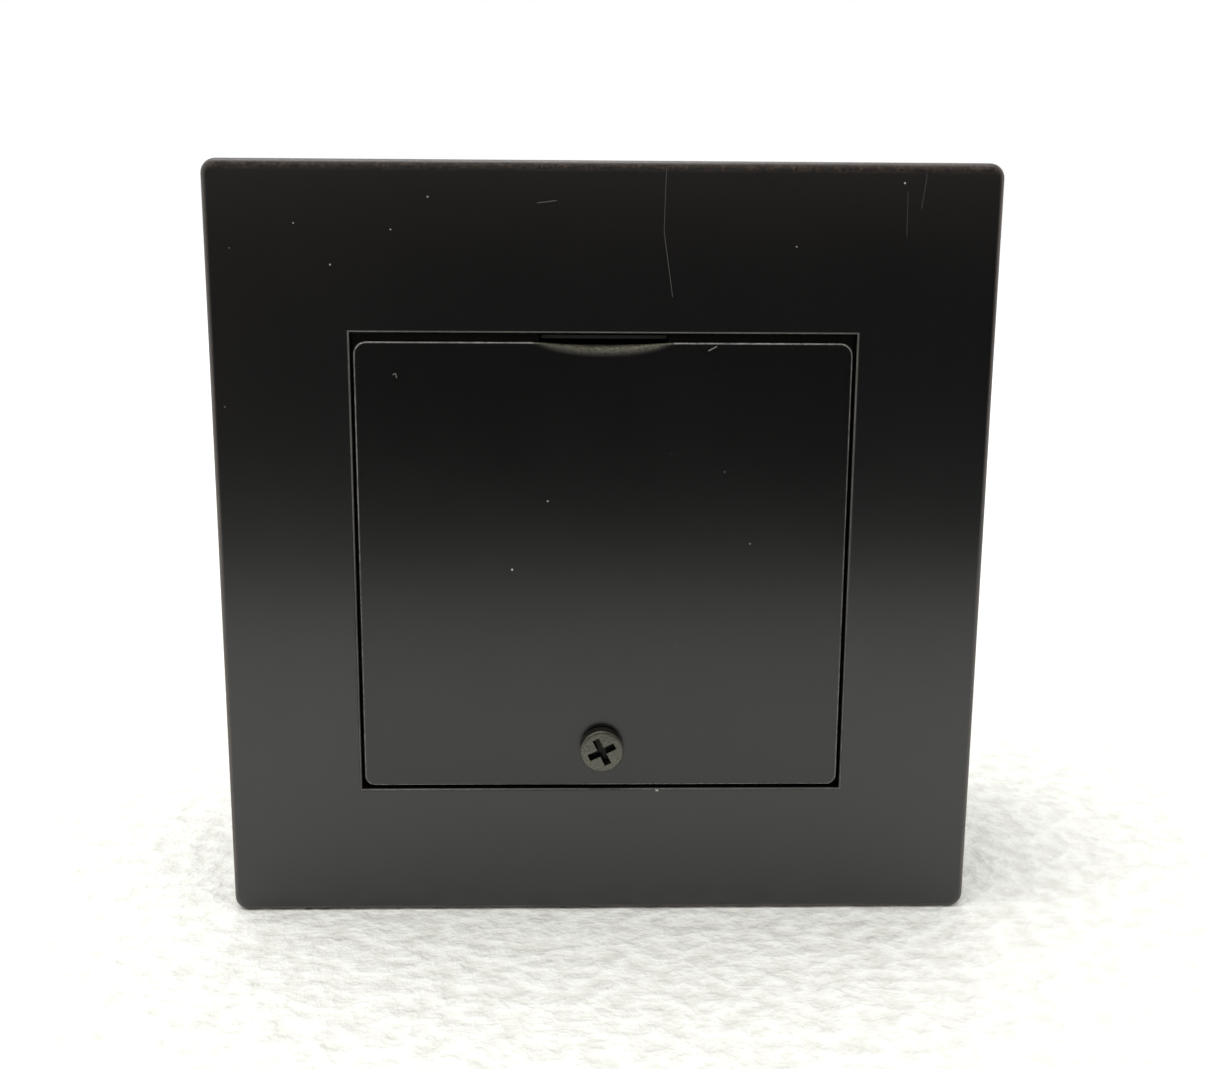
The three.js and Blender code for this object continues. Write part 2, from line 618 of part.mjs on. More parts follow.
/** Laminate with holes for its own screws and for the case screws' pillars. */
function circuitBoard() {
  const outline = roundedRectangle(2 * boardX, boardHigh - boardLow, BOARD_R, (boardHigh + boardLow) / 2);
  const [low, high] = [boardNearY - OVERRUN, boardY + OVERRUN];
  return cut(solid(slab(outline, boardNearY, boardY)),
    ...boardPillars.map(([x, z]) => rod(x, z, BOARD_SCREW_D + 2 * GAP, low, high, 12)),
    ...caseScrews.map(([x, z]) => rod(x, z, CASE_PILLAR_D + 2 * BOARD_RELIEF, low, high, 16)));
}

/** Screw from the board's near side into a pillar. */
function boardScrew() {
  const [head, shank, end] = [BOARD_HEAD_D / 2, BOARD_SCREW_D / 2, BOARD_HEAD_H + BOARD_SCREW_L];
  return turned([[0, 0], [head - 0.5, 0], [head, 0.4], [head, BOARD_HEAD_H], [shank, BOARD_HEAD_H],
    [shank, end - 0.8], [0, end]], 0, 0, 10);
}

/** Electrolytic can lying along Z, with its rolled neck and dished end. */
function storageCapacitor() {
  const [r, half] = [STORE_D / 2, STORE_L / 2];
  return turned([[0, -half], [r - 0.6, -half], [r, -half + 0.6], [r, -half + 2.2], [r - 0.5, -half + 3],
    [r, -half + 3.8], [r, half - 0.5], [r - 0.5, half], [r - 1.5, half - 0.3], [0, half - 0.3]], 0, 0,
  20).rotateX(Math.PI / 2);
}

/** Box-cased film capacitor with soft edges. */
function filmCapacitor() {
  return slab(roundedRectangle(FILM_W, FILM_H, FILM_R, 0), 0, FILM_T, FILM_EDGE_R, 1);
}

/** Both halves of the core, closed, in the XZ plane. */
function transformerCore() {
  const body = solid(box(-CORE_W / 2, CORE_W / 2, 0, CORE_T, -CORE_H / 2, CORE_H / 2));
  const [leg, side] = [CORE_LEG / 2, CORE_W / 2 - CORE_LEG / 2];
  const high = CORE_H / 2 - CORE_BACK;
  return cut(body,
    box(leg, side, -OVERRUN, CORE_T + OVERRUN, -high, high),
    box(-side, -leg, -OVERRUN, CORE_T + OVERRUN, -high, high));
}

/** Winding round the core's middle leg. */
function transformerWinding() {
  const leg = CORE_LEG / 2 + GAP;
  const high = CORE_H / 2 - CORE_BACK - GAP;
  const reach = CORE_W / 2 - CORE_LEG / 2 - GAP;
  const body = solid(box(-reach, reach, -WINDING_T, CORE_T + WINDING_T, -high, high));
  return cut(body, box(-leg, leg, -GAP, CORE_T + GAP, -high - OVERRUN, high + OVERRUN));
}

/** Power switch: a plastic body on a metal tab, lying on the board. */
function powerSwitch() {
  const body = solid(box(-5, 5, 0, 4.4, -4.6, 4.6));
  const tab = cut(solid(box(4, 11, 0, 1.3, -5, 5)), rod(8, 0, 3.6, -1, 2, 20));
  const legs = [-2.5, 0, 2.5].flatMap((z) => [box(-8.4, -4.5, 1.8, 2.4, z - 0.4, z + 0.4),
    box(-8.4, -7.8, 0, 2.4, z - 0.4, z + 0.4)]);
  return join(body.add(tab), ...legs);
}

/** Eight-legged driver chip. */
function controlChip() {
  const legs = [-1.905, -0.635, 0.635, 1.905].flatMap((x) => [-1, 1].map((side) => {
    const [z0, z1] = side > 0 ? [1.9, 3] : [-3, -1.9];
    return box(x - 0.2, x + 0.2, 0, 0.6, z0, z1);
  }));
  return join(solid(box(-2.5, 2.5, 0.1, 1.6, -2, 2)), ...legs);
}

/** Rectifier: a round body on two bent legs. */
function rectifierDiode() {
  const body = solid(new THREE.CylinderGeometry(2.4, 2.4, 8, 14).rotateZ(Math.PI / 2).translate(0, 2.4, 0));
  const legs = [-1, 1].flatMap((side) => {
    const [x0, x1] = side > 0 ? [3.5, 6.6] : [-6.6, -3.5];
    const [f0, f1] = side > 0 ? [5.8, 6.6] : [-6.6, -5.8];
    return [box(x0, x1, 2, 2.8, -0.4, 0.4), box(f0, f1, 0, 2.8, -0.4, 0.4)];
  });
  return join(body, ...legs);
}

/** Switch body with a well for its plunger. */
function buttonSwitch() {
  const half = SWITCH_W / 2;
  return cut(solid(box(-half, half, 0, SWITCH_H, -half, half)),
    rod(0, 0, PLUNGER_D + 2 * GAP, SWITCH_H - PLUNGER_WELL, SWITCH_H + OVERRUN, 24));
}

/** Domed 3 mm lamp on the board. */
function signalLamp() {
  return turned([[0, 0], [1.9, 0], [1.9, 0.8], [1.5, 0.8], [1.5, LAMP_H - 1.5], [1.2, LAMP_H - 0.7],
    [0.6, LAMP_H - 0.2], [0, LAMP_H]], 0, 0, 14);
}

/** Clear rod from the lamp to the panel's face. */
function lightGuide() {
  const r = GUIDE_D / 2;
  const low = boardY + GAP + LAMP_H + GAP;
  const [lip, flange] = [r + GUIDE_LIP, panelInnerY - GAP];
  return turned([[0, low], [r, low], [r, flange - GUIDE_LIP], [lip, flange - GUIDE_LIP], [lip, flange],
    [r, flange], [r, watchY - 0.2], [r - 0.2, watchY], [0, watchY]], LAMP_X, buttonZ, 16);
}

// ---- Cells and contacts ----

/** One AA cell along X with its nub towards +X, about its own middle. */
function cell() {
  const [r, half] = [CELL_D / 2, CELL_L / 2];
  const shoulder = half - (CELL_L - CELL_CAN_L);
  return turned([[0, -half], [r - CELL_RIM, -half], [r, -half + CELL_RIM], [r, shoulder - 0.5],
    [r - 0.5, shoulder],
    [CELL_NUB_R, shoulder], [CELL_NUB_R, half - 0.2], [CELL_NUB_R - 0.2, half], [0, half]], 0, 0,
  24).rotateZ(-Math.PI / 2);
}

/** Bent contact strip, with its solder tail where a lead leaves it. */
function contactPlate(contact) {
  const plate = solid(plateBox(contact));
  return contact.tail ? join(plate, tailBox(contact)) : plate;
}

/** Conical spring along +X, wide end at x = 0. */
function contactSpring() {
  const room = CELL_L / 2 - cellMidX;            // cell's flat end, from the middle
  const length = plateX - PLATE_T / 2 - room - 2 * GAP - COIL_WIRE;
  return wire(new Helix(COIL_WIDE_R, COIL_NARROW_R, length, COIL_TURNS), COIL_WIRE, 40, 5)
    .rotateZ(-Math.PI / 2);
}

/** A lead from a contact's tail to the board's near side. */
function batteryLead(contact) {
  const d = LEAD_D;
  const x = contact.side * (plateX + PLATE_T / 2 + GAP + d / 2 + 0.2);
  const z = cellZ(contact.first);
  const y = bayBackY + GAP + d / 2 + 0.1;
  return wire(new THREE.CatmullRomCurve3([
    new THREE.Vector3(x, y, z + 1),
    new THREE.Vector3(x + contact.side * 0.6, y + 0.1, z - 2.5),
    new THREE.Vector3(x + contact.side * 3, y + 0.9, z - 6),
    new THREE.Vector3(x + contact.side * 4, boardNearY - GAP - d / 2, z - 9)]), d, 12, 8);
}

// ---- Battery door and its screw ----

/** Roller that cuts the finger scoop, sloping back from the door's front to its back. */
function scoopCutter() {
  const rise = SCOOP_FALL - SCOOP_NOTCH;
  const slope = Math.atan2(rise, DOOR_T);
  const radius = (SCOOP_W ** 2 / 4 + SCOOP_FALL ** 2) / (2 * SCOOP_FALL);
  const roller = new THREE.CylinderGeometry(radius, radius, 30, 96).translate(0, 0, radius);
  return roller.rotateX(slope).translate(0, doorFrontY, doorHigh - SCOOP_FALL);
}

/** Leaf-spring latch: a foot on the door's back, then a bend and up into the gap above the door. */
function doorLatch() {
  const tipY = doorFrontY + LATCH_TIP_IN;
  const tipLow = latchTipZ - LATCH_T;
  const outerR = LATCH_BEND_R;
  const innerR = outerR - LATCH_T;
  const bendY = ledgeY + LATCH_BEND_IN;
  const bendZ = latchTipZ - outerR;
  const footY = doorBackY + GAP;
  const footLow = bendZ - outerR - LATCH_FOOT;
  const shape = new THREE.Shape();
  shape.moveTo(footY, footLow);
  shape.lineTo(footY + LATCH_T, footLow);
  shape.lineTo(footY + LATCH_T, bendZ - outerR);
  shape.lineTo(bendY, bendZ - outerR);
  shape.absarc(bendY, bendZ, outerR, -Math.PI / 2, Math.PI / 2);
  shape.lineTo(tipY, latchTipZ);
  shape.lineTo(tipY, tipLow);
  shape.lineTo(bendY, tipLow);
  shape.absarc(bendY, bendZ, innerR, Math.PI / 2, -Math.PI / 2, true);
  shape.lineTo(footY, bendZ - innerR);
  return slice(shape, -LATCH_W / 2, LATCH_W / 2);
}

/** Foam on the door's back, short of the latch and the screw's strip. */
function doorPad() {
  const low = cellZ(CELLS - 1) - CELL_D / 2 + 1;
  const high = latchTipZ - 2 * LATCH_BEND_R - LATCH_FOOT - 1;
  return box(-DOOR_PAD_W / 2, DOOR_PAD_W / 2, doorBackY + GAP, doorBackY + GAP + DOOR_PAD_T, low, high);
}

/** Plate with round corners, the finger scoop and the screw's hole. */
function batteryDoor() {
  const middle = (doorLow + doorHigh) / 2;
  const outline = roundedRectangle(2 * doorX, doorHigh - doorLow, DOOR_TOP_R, middle, DOOR_LOW_R);
  return cut(solid(slab(outline, doorFrontY, doorBackY, DOOR_EDGE_R, 3)), scoopCutter(),
    rod(0, screwZ, SCREW_D + 2 * GAP, doorFrontY - OVERRUN, doorBackY + OVERRUN));
}

/** Pan-headed machine screw with a cross recess. */
function doorScrew() {
  const [head, shank, groove] = [SCREW_HEAD_D / 2, SCREW_D / 2, GROOVE_D / 2];
  const top = doorFrontY - SCREW_HEAD_H;
  const under = doorFrontY - SEAT;
  const end = doorFrontY + SCREW_L;
  const grooveLow = grooveY - GAP;
  const grooveHigh = grooveY + CLIP_T + GAP;
  const rim = SCREW_RIM_R;
  const body = turned([[0, top], [head - rim, top], [head - 0.3 * rim, top + 0.3 * rim], [head, top + rim],
    [head, under], [shank, under], [shank, grooveLow], [groove, grooveLow],
    [groove, grooveHigh], [shank, grooveHigh], [shank, end - 0.6], [shank - 0.5, end], [0, end]], 0, 0, 28);
  const [arm, half] = [CROSS_SPAN / 2, CROSS_W / 2];
  const bottom = top + CROSS_DEPTH;
  const turn = THREE.MathUtils.degToRad(-CROSS_TURN);
  const cross = [
    box(-arm, arm, top - OVERRUN, bottom, -half, half),
    box(-half, half, top - OVERRUN, bottom, -arm, arm)];
  return cut(solid(body), ...cross.map((bar) => bar.rotateY(turn))).translate([0, 0, screwZ]);
}

/** Clip in the screw's groove, which keeps the screw in the door. */
function screwClip() {
  return ring(GROOVE_D + 2 * GAP, CLIP_D, grooveY, grooveY + CLIP_T, 0, screwZ, 30);
}

// ---- Button ----

/** Cap with a flange behind the panel and a stem down to the switch. */
function buttonCap() {
  const [r, flange, stem] = [BUTTON_D / 2, BUTTON_D / 2 + BUTTON_FLANGE, STEM_D / 2];
  const top = watchY + BUTTON_PROUD;
  return turned([[0, plungerHighY + GAP], [stem, plungerHighY + GAP], [stem, flangeLowY],
    [flange, flangeLowY], [flange, flangeHighY], [r, flangeHighY], [r, top - 0.8], [r - 0.25, top - 0.25],
    [r - 0.8, top], [r - 2, top - 0.1], [0, top - 0.5]], 0, buttonZ, 32);
}

/** Plunger of the switch, which the cap's stem pushes. */
function switchPlunger() {
  return rod(0, buttonZ, PLUNGER_D, boardY + GAP + SWITCH_H - PLUNGER_IN, plungerHighY, 24);
}

/** Return spring between the board and the button's flange. */
function buttonSpring() {
  const low = boardY + GAP + SPRING_WIRE / 2;
  const high = flangeLowY - GAP - SPRING_WIRE / 2;
  const r = SPRING_D / 2;
  return wire(new Helix(r, r, high - low, SPRING_TURNS), SPRING_WIRE, 72, 5).translate(0, low, buttonZ);
}

// ---- Assembly ----

const demagnetizer = new THREE.Group();
demagnetizer.name = 'demagnetizer';

function addCase() {
  const group = new THREE.Group();
  piece(group, 'housing', housing(), BLACK_ANODISED);
  piece(group, 'battery_tray', batteryTray(), BLACK_ABS);
  piece(group, 'door_insert', doorInsert(), BRASS);
  trayScrews.forEach(([x, z], i) => {
    const screw = piece(group, `tray_screw_${i + 1}`, selfTapper(TRAY_SCREW_L), SPRING_STEEL);
    screw.position.set(x, earY + EAR_T + SEAT + CASE_HEAD_H, z);
    screw.rotation.z = Math.PI;
  });
  piece(group, 'watch_panel', watchPanel(), BLACK_ABS);
  piece(group, 'watch_pad', watchPad(), BLACK_RUBBER);
  caseScrews.forEach(([x, z], i) => {
    const screw = piece(group, `case_screw_${i + 1}`, selfTapper(CASE_SCREW_L), BLACK_NICKEL);
    screw.position.set(x, bayFloorY + SEAT, z);
  });
  return group;
}

function addCoil() {
  const group = new THREE.Group();
  piece(group, 'coil_bobbin', coilBobbin(), NYLON);
  piece(group, 'coil_winding', coilWinding(), COPPER);
  piece(group, 'coil_clamp_washer', clampWasher(), BRASS);
  piece(group, 'coil_clamp_screw', clampScrew(), BRASS);
  piece(group, 'coil_lead_1', coilLead(-1), COPPER);
  piece(group, 'coil_lead_2', coilLead(1), COPPER);
  return group;
}

function addBoard() {
  const group = new THREE.Group();
  piece(group, 'circuit_board', circuitBoard(), BOARD);
  boardPillars.forEach(([x, z], i) => {
    const screw = piece(group, `board_screw_${i + 1}`, boardScrew(), SPRING_STEEL);
    screw.position.set(x, boardNearY - BOARD_HEAD_H - GAP, z);
  });
  const onBoard = new THREE.Group();
  onBoard.position.set(0, boardY + GAP, 0);
  group.add(onBoard);
  const storeX = COIL_D / 2 + COIL_TO_STORE + STORE_D / 2;
  const top = boardHigh - TOP_ROW;
  const parts = [
    ['storage_capacitor_1', storageCapacitor(), CAN_SLEEVE, -storeX, STORE_D / 2, coilZ],
    ['storage_capacitor_2', storageCapacitor(), CAN_SLEEVE, storeX, STORE_D / 2, coilZ],
    ['film_capacitor', filmCapacitor(), FILM_BOX, FILM_X, 0, buttonZ + FILM_UP],
    ['transformer_core', transformerCore(), FERRITE, CORE_X, WINDING_T + SEAT, buttonZ + CORE_UP],
    ['transformer_winding', transformerWinding(), COPPER, CORE_X, WINDING_T + SEAT, buttonZ + CORE_UP],
    ['power_switch', powerSwitch(), CHIP, POWER_X, 0, top],
    ['control_chip', controlChip(), CHIP, CHIP_X, 0, top],
    ['rectifier_diode', rectifierDiode(), CHIP, DIODE_X, 0, top + DIODE_UP],
    ['button_switch', buttonSwitch(), CHIP, 0, 0, buttonZ],
    ['signal_lamp', signalLamp(), CLEAR, LAMP_X, 0, buttonZ],
  ];
  for (const [name, shape, finish, x, y, z] of parts) {
    piece(onBoard, name, shape, finish).position.set(x, y, z);
  }
  piece(group, 'light_guide', lightGuide(), CLEAR);
  return group;
}

function addBatteries() {
  const group = new THREE.Group();
  for (let i = 0; i < CELLS; i += 1) {
    const side = i % 2 === 0 ? 1 : -1;
    const body = piece(group, `aa_cell_${i + 1}`, cell(), CELL_SLEEVE);
    body.position.set(side * cellMidX, cellY, cellZ(i));
    if (side < 0) body.rotation.y = Math.PI;
    const spring = piece(group, `contact_spring_${i + 1}`, contactSpring(), SPRING_STEEL);
    spring.position.set(-side * (plateX - (PLATE_T + COIL_WIRE) / 2 - GAP), cellY, cellZ(i));
    if (side < 0) spring.rotation.y = Math.PI;
  }
  for (const contact of contacts) piece(group, contact.name, contactPlate(contact), NICKEL);
  piece(group, 'battery_lead_plus', batteryLead(contacts[0]), PVC_RED);
  piece(group, 'battery_lead_minus', batteryLead(contacts[3]), PVC_BLACK);
  return group;
}

function addDoor() {
  const group = new THREE.Group();
  piece(group, 'battery_door', batteryDoor(), BLACK_ANODISED);
  piece(group, 'door_latch', doorLatch(), BRONZE);
  piece(group, 'door_pad', doorPad(), FOAM);
  piece(group, 'door_screw', doorScrew(), BLACK_NICKEL);
  piece(group, 'screw_clip', screwClip(), SPRING_STEEL);
  return group;
}

function addButton() {
  const group = new THREE.Group();
  piece(group, 'button_cap', buttonCap(), RED_ABS);
  piece(group, 'switch_plunger', switchPlunger(), CHIP);
  piece(group, 'button_spring', buttonSpring(), SPRING_STEEL);
  return group;
}

demagnetizer.add(addCase(), addCoil(), addBoard(), addBatteries(), addDoor(), addButton());

export default demagnetizer;
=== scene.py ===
"""Looks for a battery-powered pulse demagnetizer for watches.

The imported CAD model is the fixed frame. The anodised case, its battery door, the door screw and every
other piece that can be seen are rebuilt here as finer meshes, in metres, in the frame's own place.
The battery hatch faces -Y, the watch side +Y, and the case stands on its lower edge at z = 0.
"""

import logging
import math
from dataclasses import dataclass
from enum import Enum
from typing import Iterable, Optional, Sequence, Union

import bmesh
import bpy
from mathutils import Matrix, Vector


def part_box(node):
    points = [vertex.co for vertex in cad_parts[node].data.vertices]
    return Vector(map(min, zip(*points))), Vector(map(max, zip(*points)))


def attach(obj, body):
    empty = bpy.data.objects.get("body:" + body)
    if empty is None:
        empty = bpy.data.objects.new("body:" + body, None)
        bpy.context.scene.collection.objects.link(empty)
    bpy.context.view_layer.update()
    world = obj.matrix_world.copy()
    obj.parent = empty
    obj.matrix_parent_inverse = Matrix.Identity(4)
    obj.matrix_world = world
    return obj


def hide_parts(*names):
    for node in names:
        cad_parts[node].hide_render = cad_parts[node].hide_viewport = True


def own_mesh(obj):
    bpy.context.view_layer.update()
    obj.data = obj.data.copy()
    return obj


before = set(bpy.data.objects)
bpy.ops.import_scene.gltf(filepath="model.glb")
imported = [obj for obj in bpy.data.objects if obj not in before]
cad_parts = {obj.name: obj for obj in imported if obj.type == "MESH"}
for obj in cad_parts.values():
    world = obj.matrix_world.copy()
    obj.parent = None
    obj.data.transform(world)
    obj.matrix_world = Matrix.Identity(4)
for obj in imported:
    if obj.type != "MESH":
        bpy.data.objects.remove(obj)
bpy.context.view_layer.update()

log = logging.getLogger("demagnetizer")
logging.basicConfig(level=logging.INFO, format="%(name)s: %(message)s")

MM = 0.001
TOUCH = 1e-6    # metres; places closer than this are the same place
Y_AXIS = Vector((0, 1, 0))
Tree = bpy.types.NodeTree
Material = bpy.types.Material
Piece = bpy.types.Object
Solid = bmesh.types.BMesh
Edge = bmesh.types.BMEdge
Vert = bmesh.types.BMVert
Face = bmesh.types.BMFace
Socket = bpy.types.NodeSocket
Value = Union[float, Sequence[float], Socket]


# ---- Colours and nodes ----

def linear(hex_colour: str) -> tuple[float, float, float, float]:
    """Turn an sRGB hex colour into the linear colour that shaders take.

    Args:
        hex_colour: six hex digits, such as "1b1b1d".

    Returns:
        Linear red, green, blue and an alpha of 1.
    """
    parts = [int(hex_colour[i:i + 2], 16) / 255 for i in (0, 2, 4)]
    lin = [c / 12.92 if c <= 0.04045 else ((c + 0.055) / 1.055) ** 2.4 for c in parts]
    return (*lin, 1.0)


def add_node(tree: Tree, kind: str, inputs: Optional[dict[Union[str, int], Value]] = None,
             **settings: object) -> bpy.types.Node:
    """Add a node, set its properties and fill or link its inputs.

    Args:
        tree: the node tree that gets the node.
        kind: Blender's name for the node type.
        inputs: socket name or number to a value, or to the output socket that feeds it.
        **settings: properties of the node itself.

    Returns:
        The new node.
    """
    node = tree.nodes.new(kind)
    for name, value in settings.items():
        setattr(node, name, value)
    for key, value in (inputs or {}).items():
        if isinstance(value, Socket):
            tree.links.new(value, node.inputs[key])
        else:
            node.inputs[key].default_value = value
    return node


def maths(tree: Tree, operation: str, *values: Value) -> Socket:
    """Work out one Math node."""
    return add_node(tree, "ShaderNodeMath", dict(enumerate(values)), operation=operation).outputs[0]


def ramp(tree: Tree, value: Socket, start: float, end: float, low: float = 0.0,
         high: float = 1.0, **settings: object) -> Socket:
    """Map a value from start..end to low..high, held at both ends.

    Args:
        tree: the node tree.
        value: what is mapped.
        start: the value that gives low.
        end: the value that gives high.
        low: the result at start and before it.
        high: the result at end and past it.
        **settings: properties of the node itself.

    Returns:
        The result.
    """
    return add_node(tree, "ShaderNodeMapRange", {
        "Value": value, "From Min": start, "From Max": end, "To Min": low, "To Max": high},
        **settings).outputs["Result"]


def blend(tree: Tree, share: Value, first: Value, second: Value) -> Socket:
    """Mix two colours: the first where share is 0, the second where it is 1."""
    return add_node(tree, "ShaderNodeMix", {"Factor": share, "A": first, "B": second},
                    data_type="RGBA").outputs[2]


def object_spot(tree: Tree) -> Socket:
    """Object coordinates, in metres."""
    return add_node(tree, "ShaderNodeTexCoord").outputs["Object"]


def blank_material(name: str) -> tuple[Material, Tree, bpy.types.Node]:
    """Make a material with only its output."""
    material = bpy.data.materials.new(name)
    material.use_nodes = True
    tree = material.node_tree
    tree.nodes.clear()
    return material, tree, add_node(tree, "ShaderNodeOutputMaterial")


class Grain(Enum):
    """How a plain finish's surface was left."""

    MOULDED = "fine even grit from a spark-eroded mould"
    DRAWN = "fine lines left by rolling or drawing"
    WOUND = "turns of wire lying side by side round the Y axis"
    LAYERED = "turns of wire lying side by side along X"
    CELLULAR = "open pores of a cut foam"
    SMOOTH = "glossy, with only a faint waviness"


@dataclass(frozen=True)
class Finish:
    """A finish whose colour and grain come from one pattern in millimetres."""

    name: str
    colour: str
    roughness: float
    metallic: float = 0.0
    ior: float = 1.5
    grain: Grain = Grain.MOULDED
    pitch_mm: float = 0.3
    depth: float = 0.15
    shade: float = 0.12
    coat: float = 0.0
    transmission: float = 0.0

    def pattern(self, tree: Tree) -> Socket:
        """Build the grain's height pattern on Object coordinates.

        Args:
            tree: the material's node tree.

        Returns:
            The socket that gives the height, from 0 to 1.
        """
        spot = object_spot(tree)
        per_metre = 1 / (self.pitch_mm * MM)
        if self.grain in (Grain.WOUND, Grain.LAYERED):
            axis = "Y" if self.grain is Grain.WOUND else "X"
            wave = add_node(tree, "ShaderNodeTexWave", {
                "Vector": spot, "Scale": per_metre * math.pi / 10, "Distortion": 0.25, "Detail": 1.0,
            }, bands_direction=axis, wave_profile="SIN")
            return wave.outputs["Fac"]
        if self.grain is Grain.CELLULAR:
            pores = add_node(tree, "ShaderNodeTexVoronoi", {"Vector": spot, "Scale": per_metre})
            return pores.outputs["Distance"]
        stretch = {Grain.DRAWN: (1.0, 1.0, 0.04), Grain.SMOOTH: (0.2, 0.2, 0.2)}.get(self.grain, (1, 1, 1))
        place = add_node(tree, "ShaderNodeMapping", {"Vector": spot, "Scale": stretch})
        noise = add_node(tree, "ShaderNodeTexNoise", {
            "Vector": place.outputs["Vector"], "Scale": per_metre, "Detail": 3.0, "Roughness": 0.6})
        return noise.outputs["Fac"]

    def build(self) -> Material:
        """Make the material.

        Returns:
            The finished material.
        """
        material, tree, output = blank_material(self.name)
        height = self.pattern(tree)
        base = linear(self.colour)
        low = [c * (1 - self.shade) for c in base[:3]] + [1.0]
        high = [min(1.0, c * (1 + self.shade)) for c in base[:3]] + [1.0]
        rough = ramp(tree, height, 0.0, 1.0, max(0.02, self.roughness - 0.05), self.roughness + 0.05)
        bump = add_node(tree, "ShaderNodeBump", {
            "Height": height, "Strength": self.depth, "Distance": self.pitch_mm * MM * 0.3})
        shader = add_node(tree, "ShaderNodeBsdfPrincipled", {
            "Base Color": blend(tree, height, low, high), "Roughness": rough, "Metallic": self.metallic,
            "IOR": self.ior, "Coat Weight": self.coat, "Transmission Weight": self.transmission,
            "Normal": bump.outputs["Normal"]})
        tree.links.new(shader.outputs["BSDF"], output.inputs["Surface"])
        return material


@dataclass(frozen=True)
class Scratch:
    """A straight scratch on the hatch face, from (x0, z0) to (x1, z1) in millimetres."""

    x0: float
    z0: float
    x1: float
    z1: float
    width: float = 0.10
    strength: float = 0.5


